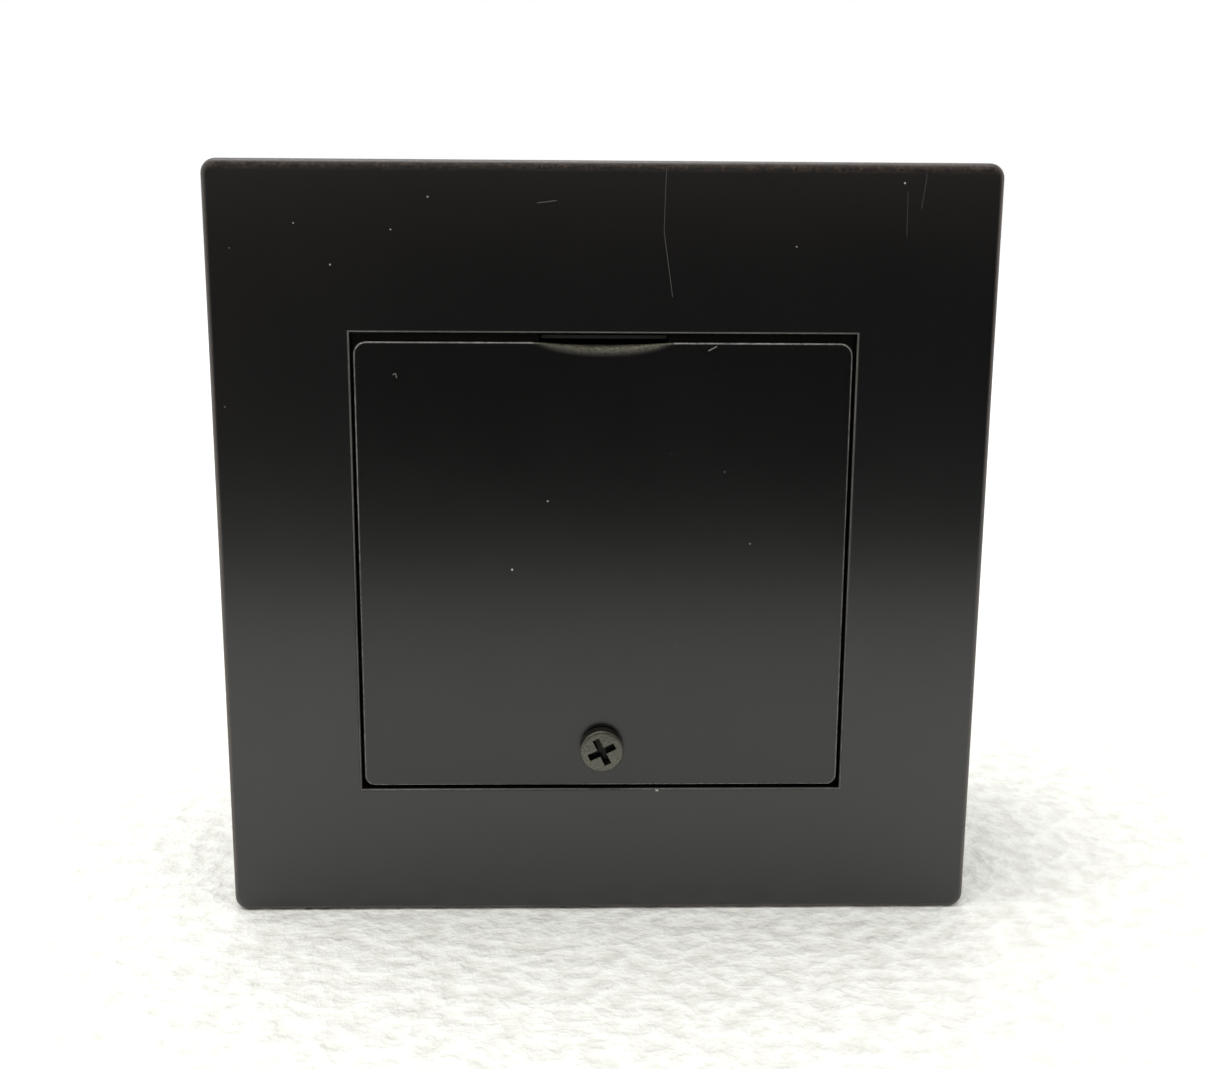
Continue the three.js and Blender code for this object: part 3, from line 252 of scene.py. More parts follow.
@dataclass(frozen=True)
class AnodisedFinish:
    """Brushed aluminium, anodised and dyed black.

    The oxide is a clear dielectric over black dye, so the eye sees a deep black with a satin gloss and
    faint upright hairlines. Rounded and tilted faces take a lighter colour, brown on the case: it is painted
    highlight and reflection on those edges, with real wear on the case where the dye is thin and handled
    most.
    """

    name: str = "black_anodised_brushed_aluminium"
    dye: str = "0b0b0c"
    wear_and_sheen: str = "4a3d35"
    pale: str = "a5a29b"
    roughness: float = 0.235
    worn_roughness: float = 0.2      # more than the flats
    ior: float = 1.65
    sheen_and_wear_start: float = 0.995        # cosines of the tilt at which the painted sheen and wear begin and are full
    sheen_and_wear_full: float = 0.86
    sheen_and_wear_grain_mm: float = 0.35      # size of the chips in the painted sheen and wear on the edges
    hairline_mm: float = 0.22        # real hairlines are finer; this is as fine as shows
    hairline_length_mm: float = 14.0
    hairline_depth: float = 0.055
    uneven: float = 0.03             # how far roughness wanders, with the clouds and the hairlines
    patch_range: tuple[float, float] = (0.12, 0.38)    # clouds times chips, from dyed to the sheen-and-wear colour
    patch_least: float = 0.1
    chip_range: tuple[float, float] = (0.36, 0.75)     # chips, from dyed to the band's painted reflection and wear
    cloud_mm: float = 22.0
    speck_mm: float = 4.2            # spacing of the pinholes and dust marks
    speck_size: float = 0.03         # of that spacing
    band_top_mm: float = 0.0         # height of an upper edge with a band of painted reflection and wear, where there is one
    band_front_mm: float = 0.0       # y of the face that has it
    band_mm: float = 1.5
    scratches: tuple[Scratch, ...] = ()

    def edge_sheen_and_wear(self, tree: Tree) -> Socket:
        """Find the rounded edges, where the surface faces between two of the case's own directions: there
        the lighter colour paints sheen and wear.
        """
        facing = add_node(tree, "ShaderNodeTexCoord").outputs["Normal"]
        size = add_node(tree, "ShaderNodeVectorMath", {0: facing}, operation="ABSOLUTE").outputs[0]
        parts = add_node(tree, "ShaderNodeSeparateXYZ", {"Vector": size}).outputs
        most = parts["X"]
        for axis in ("Y", "Z"):
            most = maths(tree, "MAXIMUM", most, parts[axis])
        return ramp(tree, most, self.sheen_and_wear_start, self.sheen_and_wear_full)

    def hairlines(self, tree: Tree, spot: Socket) -> Socket:
        """Build the upright brushing lines."""
        across = 1 / (self.hairline_mm * MM)
        along = 1 / (self.hairline_length_mm * MM)
        place = add_node(tree, "ShaderNodeMapping", {"Vector": spot, "Scale": (across, across, along)})
        return add_node(tree, "ShaderNodeTexNoise", {
            "Vector": place.outputs["Vector"], "Scale": 1.0, "Detail": 2.0, "Roughness": 0.55,
        }).outputs["Fac"]

    def clouds(self, tree: Tree, spot: Socket) -> Socket:
        """Build the slow unevenness of handled metal, from 0 to 1."""
        return add_node(tree, "ShaderNodeTexNoise", {
            "Vector": spot, "Scale": 1 / (self.cloud_mm * MM), "Detail": 4.0, "Roughness": 0.6,
        }).outputs["Fac"]

    def specks(self, tree: Tree, spot: Socket) -> Socket:
        """Build small pale marks, scattered at random."""
        cells = add_node(tree, "ShaderNodeTexVoronoi", {"Vector": spot, "Scale": 1 / (self.speck_mm * MM)})
        chance = add_node(tree, "ShaderNodeSeparateColor", {"Color": cells.outputs["Color"]}).outputs["Red"]
        return maths(tree, "LESS_THAN", cells.outputs["Distance"],
                     maths(tree, "MULTIPLY", chance, self.speck_size))

    def sheen_and_wear_band(self, tree: Tree, spot: Socket, chips: Socket) -> Socket:
        """Build the broken band along the face's upper edge: painted reflection of the rounded edge, with
        dye rubbed off by hands.
        """
        place = add_node(tree, "ShaderNodeSeparateXYZ", {"Vector": spot}).outputs
        full = self.band_mm * 0.3
        near = ramp(tree, place["Z"], (self.band_top_mm - self.band_mm) * MM, (self.band_top_mm - full) * MM)
        front = ramp(tree, place["Y"], (self.band_front_mm + self.band_mm) * MM,
                     (self.band_front_mm + full) * MM)
        broken = ramp(tree, chips, *self.chip_range)
        return maths(tree, "MULTIPLY", maths(tree, "MULTIPLY", near, front), broken)

    def scratch_mask(self, tree: Tree, spot: Socket, mark: Scratch) -> Socket:
        """Build one scratch as a thin line on the face.

        Args:
            tree: the material's node tree.
            spot: Object coordinates.
            mark: the scratch.

        Returns:
            The scratch's strength on its line and 0 elsewhere.
        """
        start = Vector((mark.x0, 0, mark.z0)) * MM
        way = Vector((mark.x1 - mark.x0, 0, mark.z1 - mark.z0)) * MM
        length = way.length
        along = way.normalized()
        across = Vector((-along.z, 0, along.x))
        from_start = add_node(tree, "ShaderNodeVectorMath", {0: spot, 1: start}, operation="SUBTRACT")
        run = add_node(tree, "ShaderNodeVectorMath", {0: from_start.outputs[0], 1: along},
                       operation="DOT_PRODUCT").outputs["Value"]
        off = add_node(tree, "ShaderNodeVectorMath", {0: from_start.outputs[0], 1: across},
                       operation="DOT_PRODUCT").outputs["Value"]
        near_line = maths(tree, "COMPARE", off, 0.0, mark.width * MM / 2)
        near_middle = maths(tree, "COMPARE", run, length / 2, length / 2)
        return maths(tree, "MULTIPLY", maths(tree, "MULTIPLY", near_line, near_middle), mark.strength)

    def build(self) -> Material:
        """Make the material.

        Returns:
            The finished material.
        """
        material, tree, output = blank_material(self.name)
        spot = object_spot(tree)
        lines = self.hairlines(tree, spot)
        clouds = self.clouds(tree, spot)
        sheen_and_wear_edges = self.edge_sheen_and_wear(tree)
        chips = add_node(tree, "ShaderNodeTexNoise", {
            "Vector": spot, "Scale": 1 / (self.sheen_and_wear_grain_mm * MM), "Detail": 3.0}).outputs["Fac"]
        patchy = ramp(tree, maths(tree, "MULTIPLY", clouds, chips), *self.patch_range, self.patch_least)
        # painted highlight and reflection: tilted edge faces take the lighter colour, with real wear on the
        # case
        wear_and_sheen = maths(tree, "MULTIPLY", sheen_and_wear_edges, patchy)
        # painted reflection along the upper front edge, broken up as rubbed wear
        if self.band_top_mm > 0:
            wear_and_sheen = maths(tree, "MAXIMUM", wear_and_sheen, self.sheen_and_wear_band(tree, spot, chips))
        colour = blend(tree, wear_and_sheen, linear(self.dye), linear(self.wear_and_sheen))
        marks = self.specks(tree, spot)
        for mark in self.scratches:
            marks = maths(tree, "MAXIMUM", marks, self.scratch_mask(tree, spot, mark))
        colour = blend(tree, marks, colour, linear(self.pale))
        smooth = ramp(tree, clouds, 0.0, 1.0, self.roughness - self.uneven, self.roughness + self.uneven)
        smooth = maths(tree, "MULTIPLY_ADD", sheen_and_wear_edges, self.worn_roughness, smooth)
        rough = maths(tree, "MULTIPLY_ADD", lines, self.uneven, smooth)
        bump = add_node(tree, "ShaderNodeBump", {
            "Height": lines, "Strength": self.hairline_depth, "Distance": self.hairline_mm * MM})
        shader = add_node(tree, "ShaderNodeBsdfPrincipled", {
            "Base Color": colour, "Roughness": rough, "Metallic": 0.0, "IOR": self.ior,
            "Normal": bump.outputs["Normal"]})
        tree.links.new(shader.outputs["BSDF"], output.inputs["Surface"])
        return material


# ---- Mesh work ----

def box_corners(node: str) -> tuple[Vector, Vector]:
    """The low and high corner of a CAD node's box, in metres."""
    low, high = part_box(node)
    return Vector(low), Vector(high)


def centre(node: str) -> Vector:
    """The middle of a CAD node's box."""
    low, high = box_corners(node)
    return (low + high) / 2


def only(kind: type, geometry: Iterable[object]) -> list:
    """The items of one kind, such as Vert, out of what a bmesh operator returns."""
    return [item for item in geometry if isinstance(item, kind)]


def place_mesh(name: str, bm: Solid, materials: Sequence[Material] = ()) -> Piece:
    """Put a bmesh into the scene as a new object, and free the bmesh."""
    mesh = bpy.data.meshes.new(name)
    bm.to_mesh(mesh)
    bm.free()
    for material in materials:
        mesh.materials.append(material)
    placed = bpy.data.objects.new(name, mesh)
    bpy.context.scene.collection.objects.link(placed)
    return placed


def finish_piece(bm: Solid, name: str, body: str, nodes: Sequence[str],
                 materials: Sequence[Material], smooth: float = 35.0) -> Piece:
    """Turn a bmesh into a piece that rides on a body and stands for its CAD nodes.

    Args:
        bm: the mesh, in place, in metres. It is freed here.
        name: the piece's name.
        body: the CAD body that it rides on.
        nodes: the CAD nodes that it replaces.
        materials: its materials, in slot order.
        smooth: edges sharper than this angle, in degrees, stay sharp.

    Returns:
        The finished object.
    """
    piece = place_mesh(name, bm, materials)
    piece.data.shade_smooth()
    piece.data.set_sharp_from_angle(angle=math.radians(smooth))
    weigh = piece.modifiers.new("even_normals", "WEIGHTED_NORMAL")
    weigh.keep_sharp = True
    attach(piece, body)
    if nodes:
        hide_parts(*nodes)
    log.info("%s: %d faces, rides on %s", name, len(piece.data.polygons), body)
    return piece


def round_edges(bm: Solid, edges: Iterable[Edge], radius_mm: float,
                segments: int = 5) -> list[Face]:
    """Round some edges off."""
    return bmesh.ops.bevel(bm, geom=list(edges), offset=radius_mm * MM, offset_type="OFFSET",
                           segments=segments, profile=0.5, affect="EDGES", material=-1,
                           clamp_overlap=True)["faces"]


def spun(profile: Sequence[tuple[float, float]], middle: Vector, axis: Vector, steps: int = 64,
         ) -> Solid:
    """Spin a profile about an axis into a closed solid.

    Args:
        profile: (radius, distance along the axis) points in mm; both ends are on the axis or meet.
        middle: the point on the axis that the distances count from.
        axis: the axis, of length 1.
        steps: steps round the turn.

    Returns:
        The new mesh.
    """
    side = axis.orthogonal().normalized()
    bm = bmesh.new()
    verts = [bm.verts.new(middle + side * r * MM + axis * y * MM) for r, y in profile]
    edges = [bm.edges.new(pair) for pair in zip(verts, verts[1:])]
    if profile[0][0] > 0:
        edges.append(bm.edges.new((verts[-1], verts[0])))
    bmesh.ops.spin(bm, geom=verts + edges, cent=middle, axis=axis, angle=2 * math.pi, steps=steps,
                   use_merge=True)
    bmesh.ops.remove_doubles(bm, verts=bm.verts, dist=TOUCH)
    bmesh.ops.recalc_face_normals(bm, faces=bm.faces)
    return bm


def arc(x: float, y: float, radius: float, start: float, end: float, steps: int = 6,
        ) -> list[tuple[float, float]]:
    """Points round an arc, angles in degrees."""
    turns = [math.radians(start + (end - start) * i / steps) for i in range(steps + 1)]
    return [(x + radius * math.cos(a), y + radius * math.sin(a)) for a in turns]


def cad_copy(node: str) -> Solid:
    """A merged copy of a CAD node's mesh, its flat triangles joined."""
    bm = bmesh.new()
    bm.from_mesh(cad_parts[node].data)
    bmesh.ops.remove_doubles(bm, verts=bm.verts, dist=2e-6)
    bmesh.ops.dissolve_limit(bm, angle_limit=math.radians(1.0), verts=bm.verts, edges=bm.edges)
    return bm


def carve(piece: Solid, cutter: Solid) -> Solid:
    """Cut one solid with another.

    Args:
        piece: the solid that is cut. It is freed here.
        cutter: what is taken away. It is freed here.

    Returns:
        The cut solid.
    """
    block = place_mesh("carving", piece)
    tool = place_mesh("carving", cutter)
    cut = block.modifiers.new("cut", "BOOLEAN")
    cut.operation = "DIFFERENCE"
    cut.object = tool
    cut.solver = "EXACT"
    done = bmesh.new()
    done.from_object(block, bpy.context.evaluated_depsgraph_get())
    for item in (block, tool):
        mesh = item.data
        bpy.data.objects.remove(item)
        bpy.data.meshes.remove(mesh)
    return done


# ---- Studio ----

@dataclass
class Studio:
    """White foam sheet, white surroundings, a dark flag that only reflections see, and the camera."""

    lens_mm: float = 44.63
    sensor_mm: float = 36.0
    camera_mm: tuple[float, float, float] = (-4.56, -214.87, 93.56)
    camera_turn: tuple[float, float, float] = (77.92, -0.36, -1.37)
    floor_m: float = 12.0
    flag_y_mm: float = -205.0
    surround: float = 1.0
    foam_cells_per_m: float = 330.0
    near_m: float = 0.08             # painted light: the foam's own colour ends here and gives way to painted white
    far_m: float = 0.7
    far_painted_glow: float = 0.12

    def build_camera(self) -> None:
        """Place the camera a hand's breadth in front of the hatch, level with the case's top."""
        data = bpy.data.cameras.new("camera")
        data.lens = self.lens_mm
        data.sensor_width = self.sensor_mm
        data.sensor_fit = "HORIZONTAL"
        data.clip_start = 0.01
        camera = bpy.data.objects.new("camera", data)
        camera.location = Vector(self.camera_mm) * MM
        camera.rotation_euler = [math.radians(a) for a in self.camera_turn]
        bpy.context.scene.collection.objects.link(camera)
        bpy.context.scene.camera = camera

    def build_floor(self) -> None:
        """Lay the pale foam sheet, painted whiter and glowing further from the middle: painted light."""
        material, tree, output = blank_material("white_polyethylene_foam_sheet")
        spot = object_spot(tree)
        cells = add_node(tree, "ShaderNodeTexNoise", {
            "Vector": spot, "Scale": self.foam_cells_per_m, "Detail": 5.0})
        bump = add_node(tree, "ShaderNodeBump", {
            "Height": cells.outputs["Fac"], "Strength": 0.6, "Distance": 0.002})
        away = add_node(tree, "ShaderNodeVectorMath", {0: spot}, operation="LENGTH").outputs["Value"]
        far = ramp(tree, away, self.near_m, self.far_m, interpolation_type="SMOOTHSTEP")
        fleck = ramp(tree, cells.outputs["Fac"], 0.35, 0.6)
        near_colour = blend(tree, fleck, linear("e4e4dc"), linear("f5f5ef"))
        # painted light: far from the middle the floor turns white and glows
        colour = blend(tree, far, near_colour, linear("ffffff"))
        painted_glow = maths(tree, "MULTIPLY", far, self.far_painted_glow)
        shader = add_node(tree, "ShaderNodeBsdfPrincipled", {
            "Base Color": colour, "Roughness": 0.7, "Normal": bump.outputs["Normal"],
            "Emission Color": linear("ffffff"), "Emission Strength": painted_glow})
        tree.links.new(shader.outputs["BSDF"], output.inputs["Surface"])
        bm = bmesh.new()
        bmesh.ops.create_grid(bm, x_segments=1, y_segments=1, size=self.floor_m / 2)
        place_mesh("floor", bm, [material])

    def build_flag(self) -> None:
        """Stand a dark card in front, which the gloss of the case sees and the camera doesn't."""
        material, tree, output = blank_material("black_flag_card")
        spot = object_spot(tree)
        parts = add_node(tree, "ShaderNodeSeparateXYZ", {"Vector": spot}).outputs
        side = ramp(tree, parts["X"], -0.02, -0.35, 0.01, 0.55, interpolation_type="SMOOTHSTEP")
        high = ramp(tree, parts["Z"], 0.093, 0.118, 0.0, 0.42, interpolation_type="SMOOTHSTEP")
        shine = add_node(tree, "ShaderNodeEmission", {
            "Color": linear("f2e6da"), "Strength": maths(tree, "ADD", side, high)})
        tree.links.new(shine.outputs["Emission"], output.inputs["Surface"])
        bm = bmesh.new()
        bmesh.ops.create_grid(bm, x_segments=1, y_segments=1, size=1.5)
        bmesh.ops.rotate(bm, cent=(0, 0, 0), matrix=Matrix.Rotation(math.pi / 2, 3, "X"), verts=bm.verts)
        bmesh.ops.translate(bm, vec=(0, self.flag_y_mm * MM, 1.5), verts=bm.verts)
        flag = place_mesh("flag", bm, [material])
        flag.visible_camera = False
        flag.visible_diffuse = False
        flag.visible_shadow = False
        flag.visible_transmission = False

    def build_light(self) -> None:
        """Light it with white surroundings, a big soft box overhead and a brighter strip beside it."""
        world = bpy.data.worlds.new("white_studio")
        world.use_nodes = True
        world.node_tree.nodes.clear()
        output = add_node(world.node_tree, "ShaderNodeOutputWorld")
        sky = add_node(world.node_tree, "ShaderNodeBackground", {
            "Color": linear("ffffff"), "Strength": self.surround})
        world.node_tree.links.new(sky.outputs["Background"], output.inputs["Surface"])
        bpy.context.scene.world = world
        for name, size, watts, place in (
                ("ceiling_softbox", (1.2, 1.2), 4.5, (-0.2, -0.1, 1.0)),
                ("ceiling_strip", (0.7, 0.14), 2.4, (-0.1, 0.08, 0.9))):
            lamp = bpy.data.lights.new(name, "AREA")
            lamp.shape = "RECTANGLE"
            lamp.size, lamp.size_y = size
            lamp.energy = watts
            box = bpy.data.objects.new(name, lamp)
            box.location = place
            aim = Vector((0, 0, 0.03)) - box.location
            box.rotation_euler = aim.to_track_quat("-Z", "Y").to_euler()
            bpy.context.scene.collection.objects.link(box)

    def build(self) -> None:
        """Build the camera first, then the rest."""
        self.build_camera()
        self.build_floor()
        self.build_flag()
        self.build_light()
        bpy.context.scene.view_settings.view_transform = "Standard"
        log.info("studio: camera, floor, flag and lights")


# ---- Case ----

@dataclass
class Opening:
    """The hatch opening, taken from the door's box and the play round it, in metres."""

    side_gap_mm: float = 0.35
    low_gap_mm: float = 0.3
    top_gap_mm: float = 1.15

    def corners(self) -> tuple[float, float, float, float]:
        """Left, right, lower and upper edge of the opening."""
        low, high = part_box("battery_door")
        side = self.side_gap_mm * MM
        return (low[0] - side, high[0] + side, low[2] - self.low_gap_mm * MM,
                high[2] + self.top_gap_mm * MM)


@dataclass
class CaseShell:
    """The anodised case: hatch face and four side walls, with the seat for the watch panel."""

    finish: Material
    edge_painted_highlight: Material
    opening: Opening
    corner_mm: float = 1.9
    hatch_edge_mm: float = 0.85
    opening_edge_mm: float = 0.3
    mouth_edge_mm: float = 0.45
    wall_mm: float = 2.4
    rim_mm: float = 1.2
    seat_mm: float = 3.3
    boss_mm: float = 6.5
    boss_length_mm: float = 4.3
    segments: int = 7

    def hatch_face(self, bm: Solid) -> list[Edge]:
        """Open the battery hatch in the -Y face."""
        face = min(bm.faces, key=lambda f: f.calc_center_median().y)
        bmesh.ops.inset_individual(bm, faces=[face], thickness=0.01)
        left, right, low, high = self.opening.corners()
        middle = face.calc_center_median()
        for vert in face.verts:
            vert.co.x = left if vert.co.x < middle.x else right
            vert.co.z = low if vert.co.z < middle.z else high
        edges = list(face.edges)
        bmesh.ops.delete(bm, geom=[face], context="FACES_ONLY")
        return edges

    def walls(self, bm: Solid, mouth: list[Edge],
              hatch: list[Edge]) -> None:
        """Turn the open shell into real walls, with the panel's seat at the mouth.

        Args:
            bm: the outer surface, open at both ends.
            mouth: the edges round the watch side.
            hatch: the edges round the hatch opening.
        """
        low, high = box_corners("housing")
        middle = (low + high) / 2

        def pull(edges: list[Edge], inset_mm: float, y: float) -> list[Edge]:
            """Extrude a loop to a new inset from the outside and a new y."""
            new = bmesh.ops.extrude_edge_only(bm, edges=edges)["geom"]
            for vert in only(Vert, new):
                vert.co.x = low.x + inset_mm * MM if vert.co.x < middle.x else high.x - inset_mm * MM
                vert.co.z = low.z + inset_mm * MM if vert.co.z < middle.z else high.z - inset_mm * MM
                vert.co.y = y
            return only(Edge, new)

        seat_y = high.y - self.seat_mm * MM
        inner_y = low.y + self.wall_mm * MM
        loop = pull(mouth, self.rim_mm, high.y)
        loop = pull(loop, self.rim_mm, seat_y)
        loop = pull(loop, self.wall_mm, seat_y)
        loop = pull(loop, self.wall_mm, inner_y)
        back = bmesh.ops.extrude_edge_only(bm, edges=hatch)["geom"]
        bmesh.ops.translate(bm, vec=(0, self.wall_mm * MM, 0), verts=only(Vert, back))
        bmesh.ops.bridge_loops(bm, edges=loop + only(Edge, back))

    def add_bosses(self, bm: Solid, inner_y: float) -> None:
        """Add the four bosses for the tray's screws, on the inside of the hatch wall."""
        for i in range(1, 5):
            screw = centre(f"tray_screw_{i}")
            length = self.boss_length_mm * MM
            place = Matrix.Translation((screw.x, inner_y + length / 2, screw.z))
            bmesh.ops.create_cone(bm, cap_ends=True, segments=32, radius1=self.boss_mm / 2 * MM,
                                  radius2=self.boss_mm / 2 * MM, depth=length,
                                  matrix=place @ Matrix.Rotation(math.pi / 2, 4, "X"))

    def build(self) -> Piece:
        """Build the shell.

        Returns:
            The piece.
        """
        low, high = box_corners("housing")
        bm = bmesh.new()
        bmesh.ops.create_cube(bm, size=1.0)
        bmesh.ops.scale(bm, vec=high - low, verts=bm.verts)
        bmesh.ops.translate(bm, vec=(low + high) / 2, verts=bm.verts)
        hatch = self.hatch_face(bm)
        lid = max(bm.faces, key=lambda f: f.calc_center_median().y)
        mouth = list(lid.edges)
        bmesh.ops.delete(bm, geom=[lid], context="FACES_ONLY")
        self.walls(bm, mouth, hatch)
        bmesh.ops.recalc_face_normals(bm, faces=bm.faces)

        def on_outside(vert: Vert) -> bool:
            """Whether a vertex is one of the case's own corners."""
            at_x = min(vert.co.x - low.x, high.x - vert.co.x) < TOUCH
            at_z = min(vert.co.z - low.z, high.z - vert.co.z) < TOUCH
            return at_x and at_z

        def at_y(edge: Edge, y: float) -> bool:
            """Whether an edge lies in a plane of constant y."""
            return all(abs(vert.co.y - y) < TOUCH for vert in edge.verts)

        corners = [e for e in bm.edges if all(on_outside(v) for v in e.verts) and not at_y(e, low.y)
                   and not at_y(e, high.y)]
        round_edges(bm, corners, self.corner_mm, self.segments)
        left, right = self.opening.corners()[:2]
        rim = [e for e in bm.edges if at_y(e, low.y) and all(
            left - TOUCH < v.co.x < right + TOUCH for v in e.verts)]
        # the opening's rounded lip takes the edge material: painted highlight
        for face in round_edges(bm, rim, self.opening_edge_mm, 5):
            face.material_index = 1
        front = [e for e in bm.edges if at_y(e, low.y) and e.calc_face_angle(0.0) > 1.0 and any(
            not left - 0.001 < v.co.x < right + 0.001 or v.co.z < low.z + 0.01 or v.co.z > high.z - 0.01
            for v in e.verts)]
        round_edges(bm, front, self.hatch_edge_mm, self.segments)

        def at_mouth(vert: Vert) -> bool:
            """Whether a vertex lies on the outer line round the mouth."""
            off_x = min(vert.co.x - low.x, high.x - vert.co.x)
            off_z = min(vert.co.z - low.z, high.z - vert.co.z)
            return abs(vert.co.y - high.y) < TOUCH and min(off_x, off_z) < self.corner_mm * MM * 0.3

        lips = [e for e in bm.edges if all(at_mouth(v) for v in e.verts) and len(e.link_faces) == 2]
        round_edges(bm, lips, self.mouth_edge_mm, 3)
        self.add_bosses(bm, low.y + self.wall_mm * MM)
        bmesh.ops.recalc_face_normals(bm, faces=bm.faces)
        return finish_piece(bm, "case_shell", "case", ["housing"],
                            [self.finish, self.edge_painted_highlight])


@dataclass
class BatteryDoor:
    """The door plate with its round corners, soft edges and pressed finger scoop."""

    finish: Material
    edge_painted_highlight: Material
    edge_mm: float = 0.3
    top_corner_mm: float = 1.7
    low_corner_mm: float = 1.3
    scoop_half_mm: float = 8.6
    scoop_fall_mm: float = 2.1
    scoop_notch_mm: float = 0.35
    scoop_depth_mm: float = 1.25
    screw_hole_mm: float = 1.8

    def outline(self, low: Vector, high: Vector) -> list[Vector]:
        """The plate's front with its four round corners, in order."""
        a, b = self.low_corner_mm, self.top_corner_mm
        x0, x1, z0, z1 = low.x / MM, high.x / MM, low.z / MM, high.z / MM
        spots = arc(x0 + a, z0 + a, a, 180, 270) + arc(x1 - a, z0 + a, a, 270, 360)
        spots += arc(x1 - b, z1 - b, b, 0, 90) + arc(x0 + b, z1 - b, b, 90, 180)
        return [Vector((x * MM, low.y, z * MM)) for x, z in spots]

    def press_scoop(self, bm: Solid, top: float, front: float) -> None:
        """Press the finger scoop into the plate's upper edge.

        Args:
            bm: the plate.
            top: z of its upper edge.
            front: y of its front.
        """
        reach = self.scoop_half_mm + 1.0
        steps = 28
        for i in range(steps + 1):
            x = (-reach + 2 * reach * i / steps) * MM
            bmesh.ops.bisect_plane(bm, geom=bm.verts[:] + bm.edges[:] + bm.faces[:], dist=1e-7,
                                   plane_co=(x, 0, 0), plane_no=(1, 0, 0))
        for i in range(1, 9):
            z = top - (self.edge_mm + (self.scoop_fall_mm - self.edge_mm) * i / 8) * MM
            bmesh.ops.bisect_plane(bm, geom=bm.verts[:] + bm.edges[:] + bm.faces[:], dist=1e-7,
                                   plane_co=(0, 0, z), plane_no=(0, 0, 1))
        back = max(vert.co.y for vert in bm.verts)
        for vert in bm.verts:
            along = 1 - (vert.co.x / MM / self.scoop_half_mm) ** 2
            if along <= 0:
                continue
            fall = 1 - min(1.0, max(0.0, (top - vert.co.z) / (self.scoop_fall_mm * MM * math.sqrt(along))))
            ease = fall ** 2.2
            facing = (back - vert.co.y) / (back - front)
            vert.co.y += self.scoop_depth_mm * MM * along * ease * facing
            vert.co.z -= self.scoop_notch_mm * MM * along * fall ** 3

    def build(self) -> Piece:
        """Build the door.

        Returns:
            The piece.
        """
        low, high = box_corners("battery_door")
        bm = bmesh.new()
        front = bm.faces.new([bm.verts.new(spot) for spot in self.outline(low, high)])
        out = bmesh.ops.extrude_face_region(bm, geom=[front])["geom"]
        bmesh.ops.translate(bm, vec=(0, high.y - low.y, 0), verts=only(Vert, out))
        bmesh.ops.recalc_face_normals(bm, faces=bm.faces)
        rim = [e for e in bm.edges if all(abs(v.co.y - low.y) < 1e-7 for v in e.verts)]
        # the rim takes the edge material: painted highlight
        for face in round_edges(bm, rim, self.edge_mm, 5):
            face.material_index = 1
        screw = centre("door_screw")
        hole = bmesh.new()
        turn = Matrix.Translation((0, (low.y + high.y) / 2, screw.z)) @ Matrix.Rotation(math.pi / 2, 4, "X")
        bmesh.ops.create_cone(hole, cap_ends=True, segments=32, radius1=self.screw_hole_mm * MM,
                              radius2=self.screw_hole_mm * MM, depth=0.01, matrix=turn)
        bm = carve(bm, hole)
        self.press_scoop(bm, high.z, low.y)
        # the scoop keeps the door's own material, whose lighter edge colour paints the scoop's highlight
        for face in bm.faces:
            spot = face.calc_center_median()
            if abs(spot.x) < self.scoop_half_mm * MM and spot.z > (low.z + high.z) / 2:
                face.material_index = 0
        bmesh.ops.recalc_face_normals(bm, faces=bm.faces)
        return finish_piece(bm, "door_plate", "battery_door", ["battery_door"],
                            [self.finish, self.edge_painted_highlight])


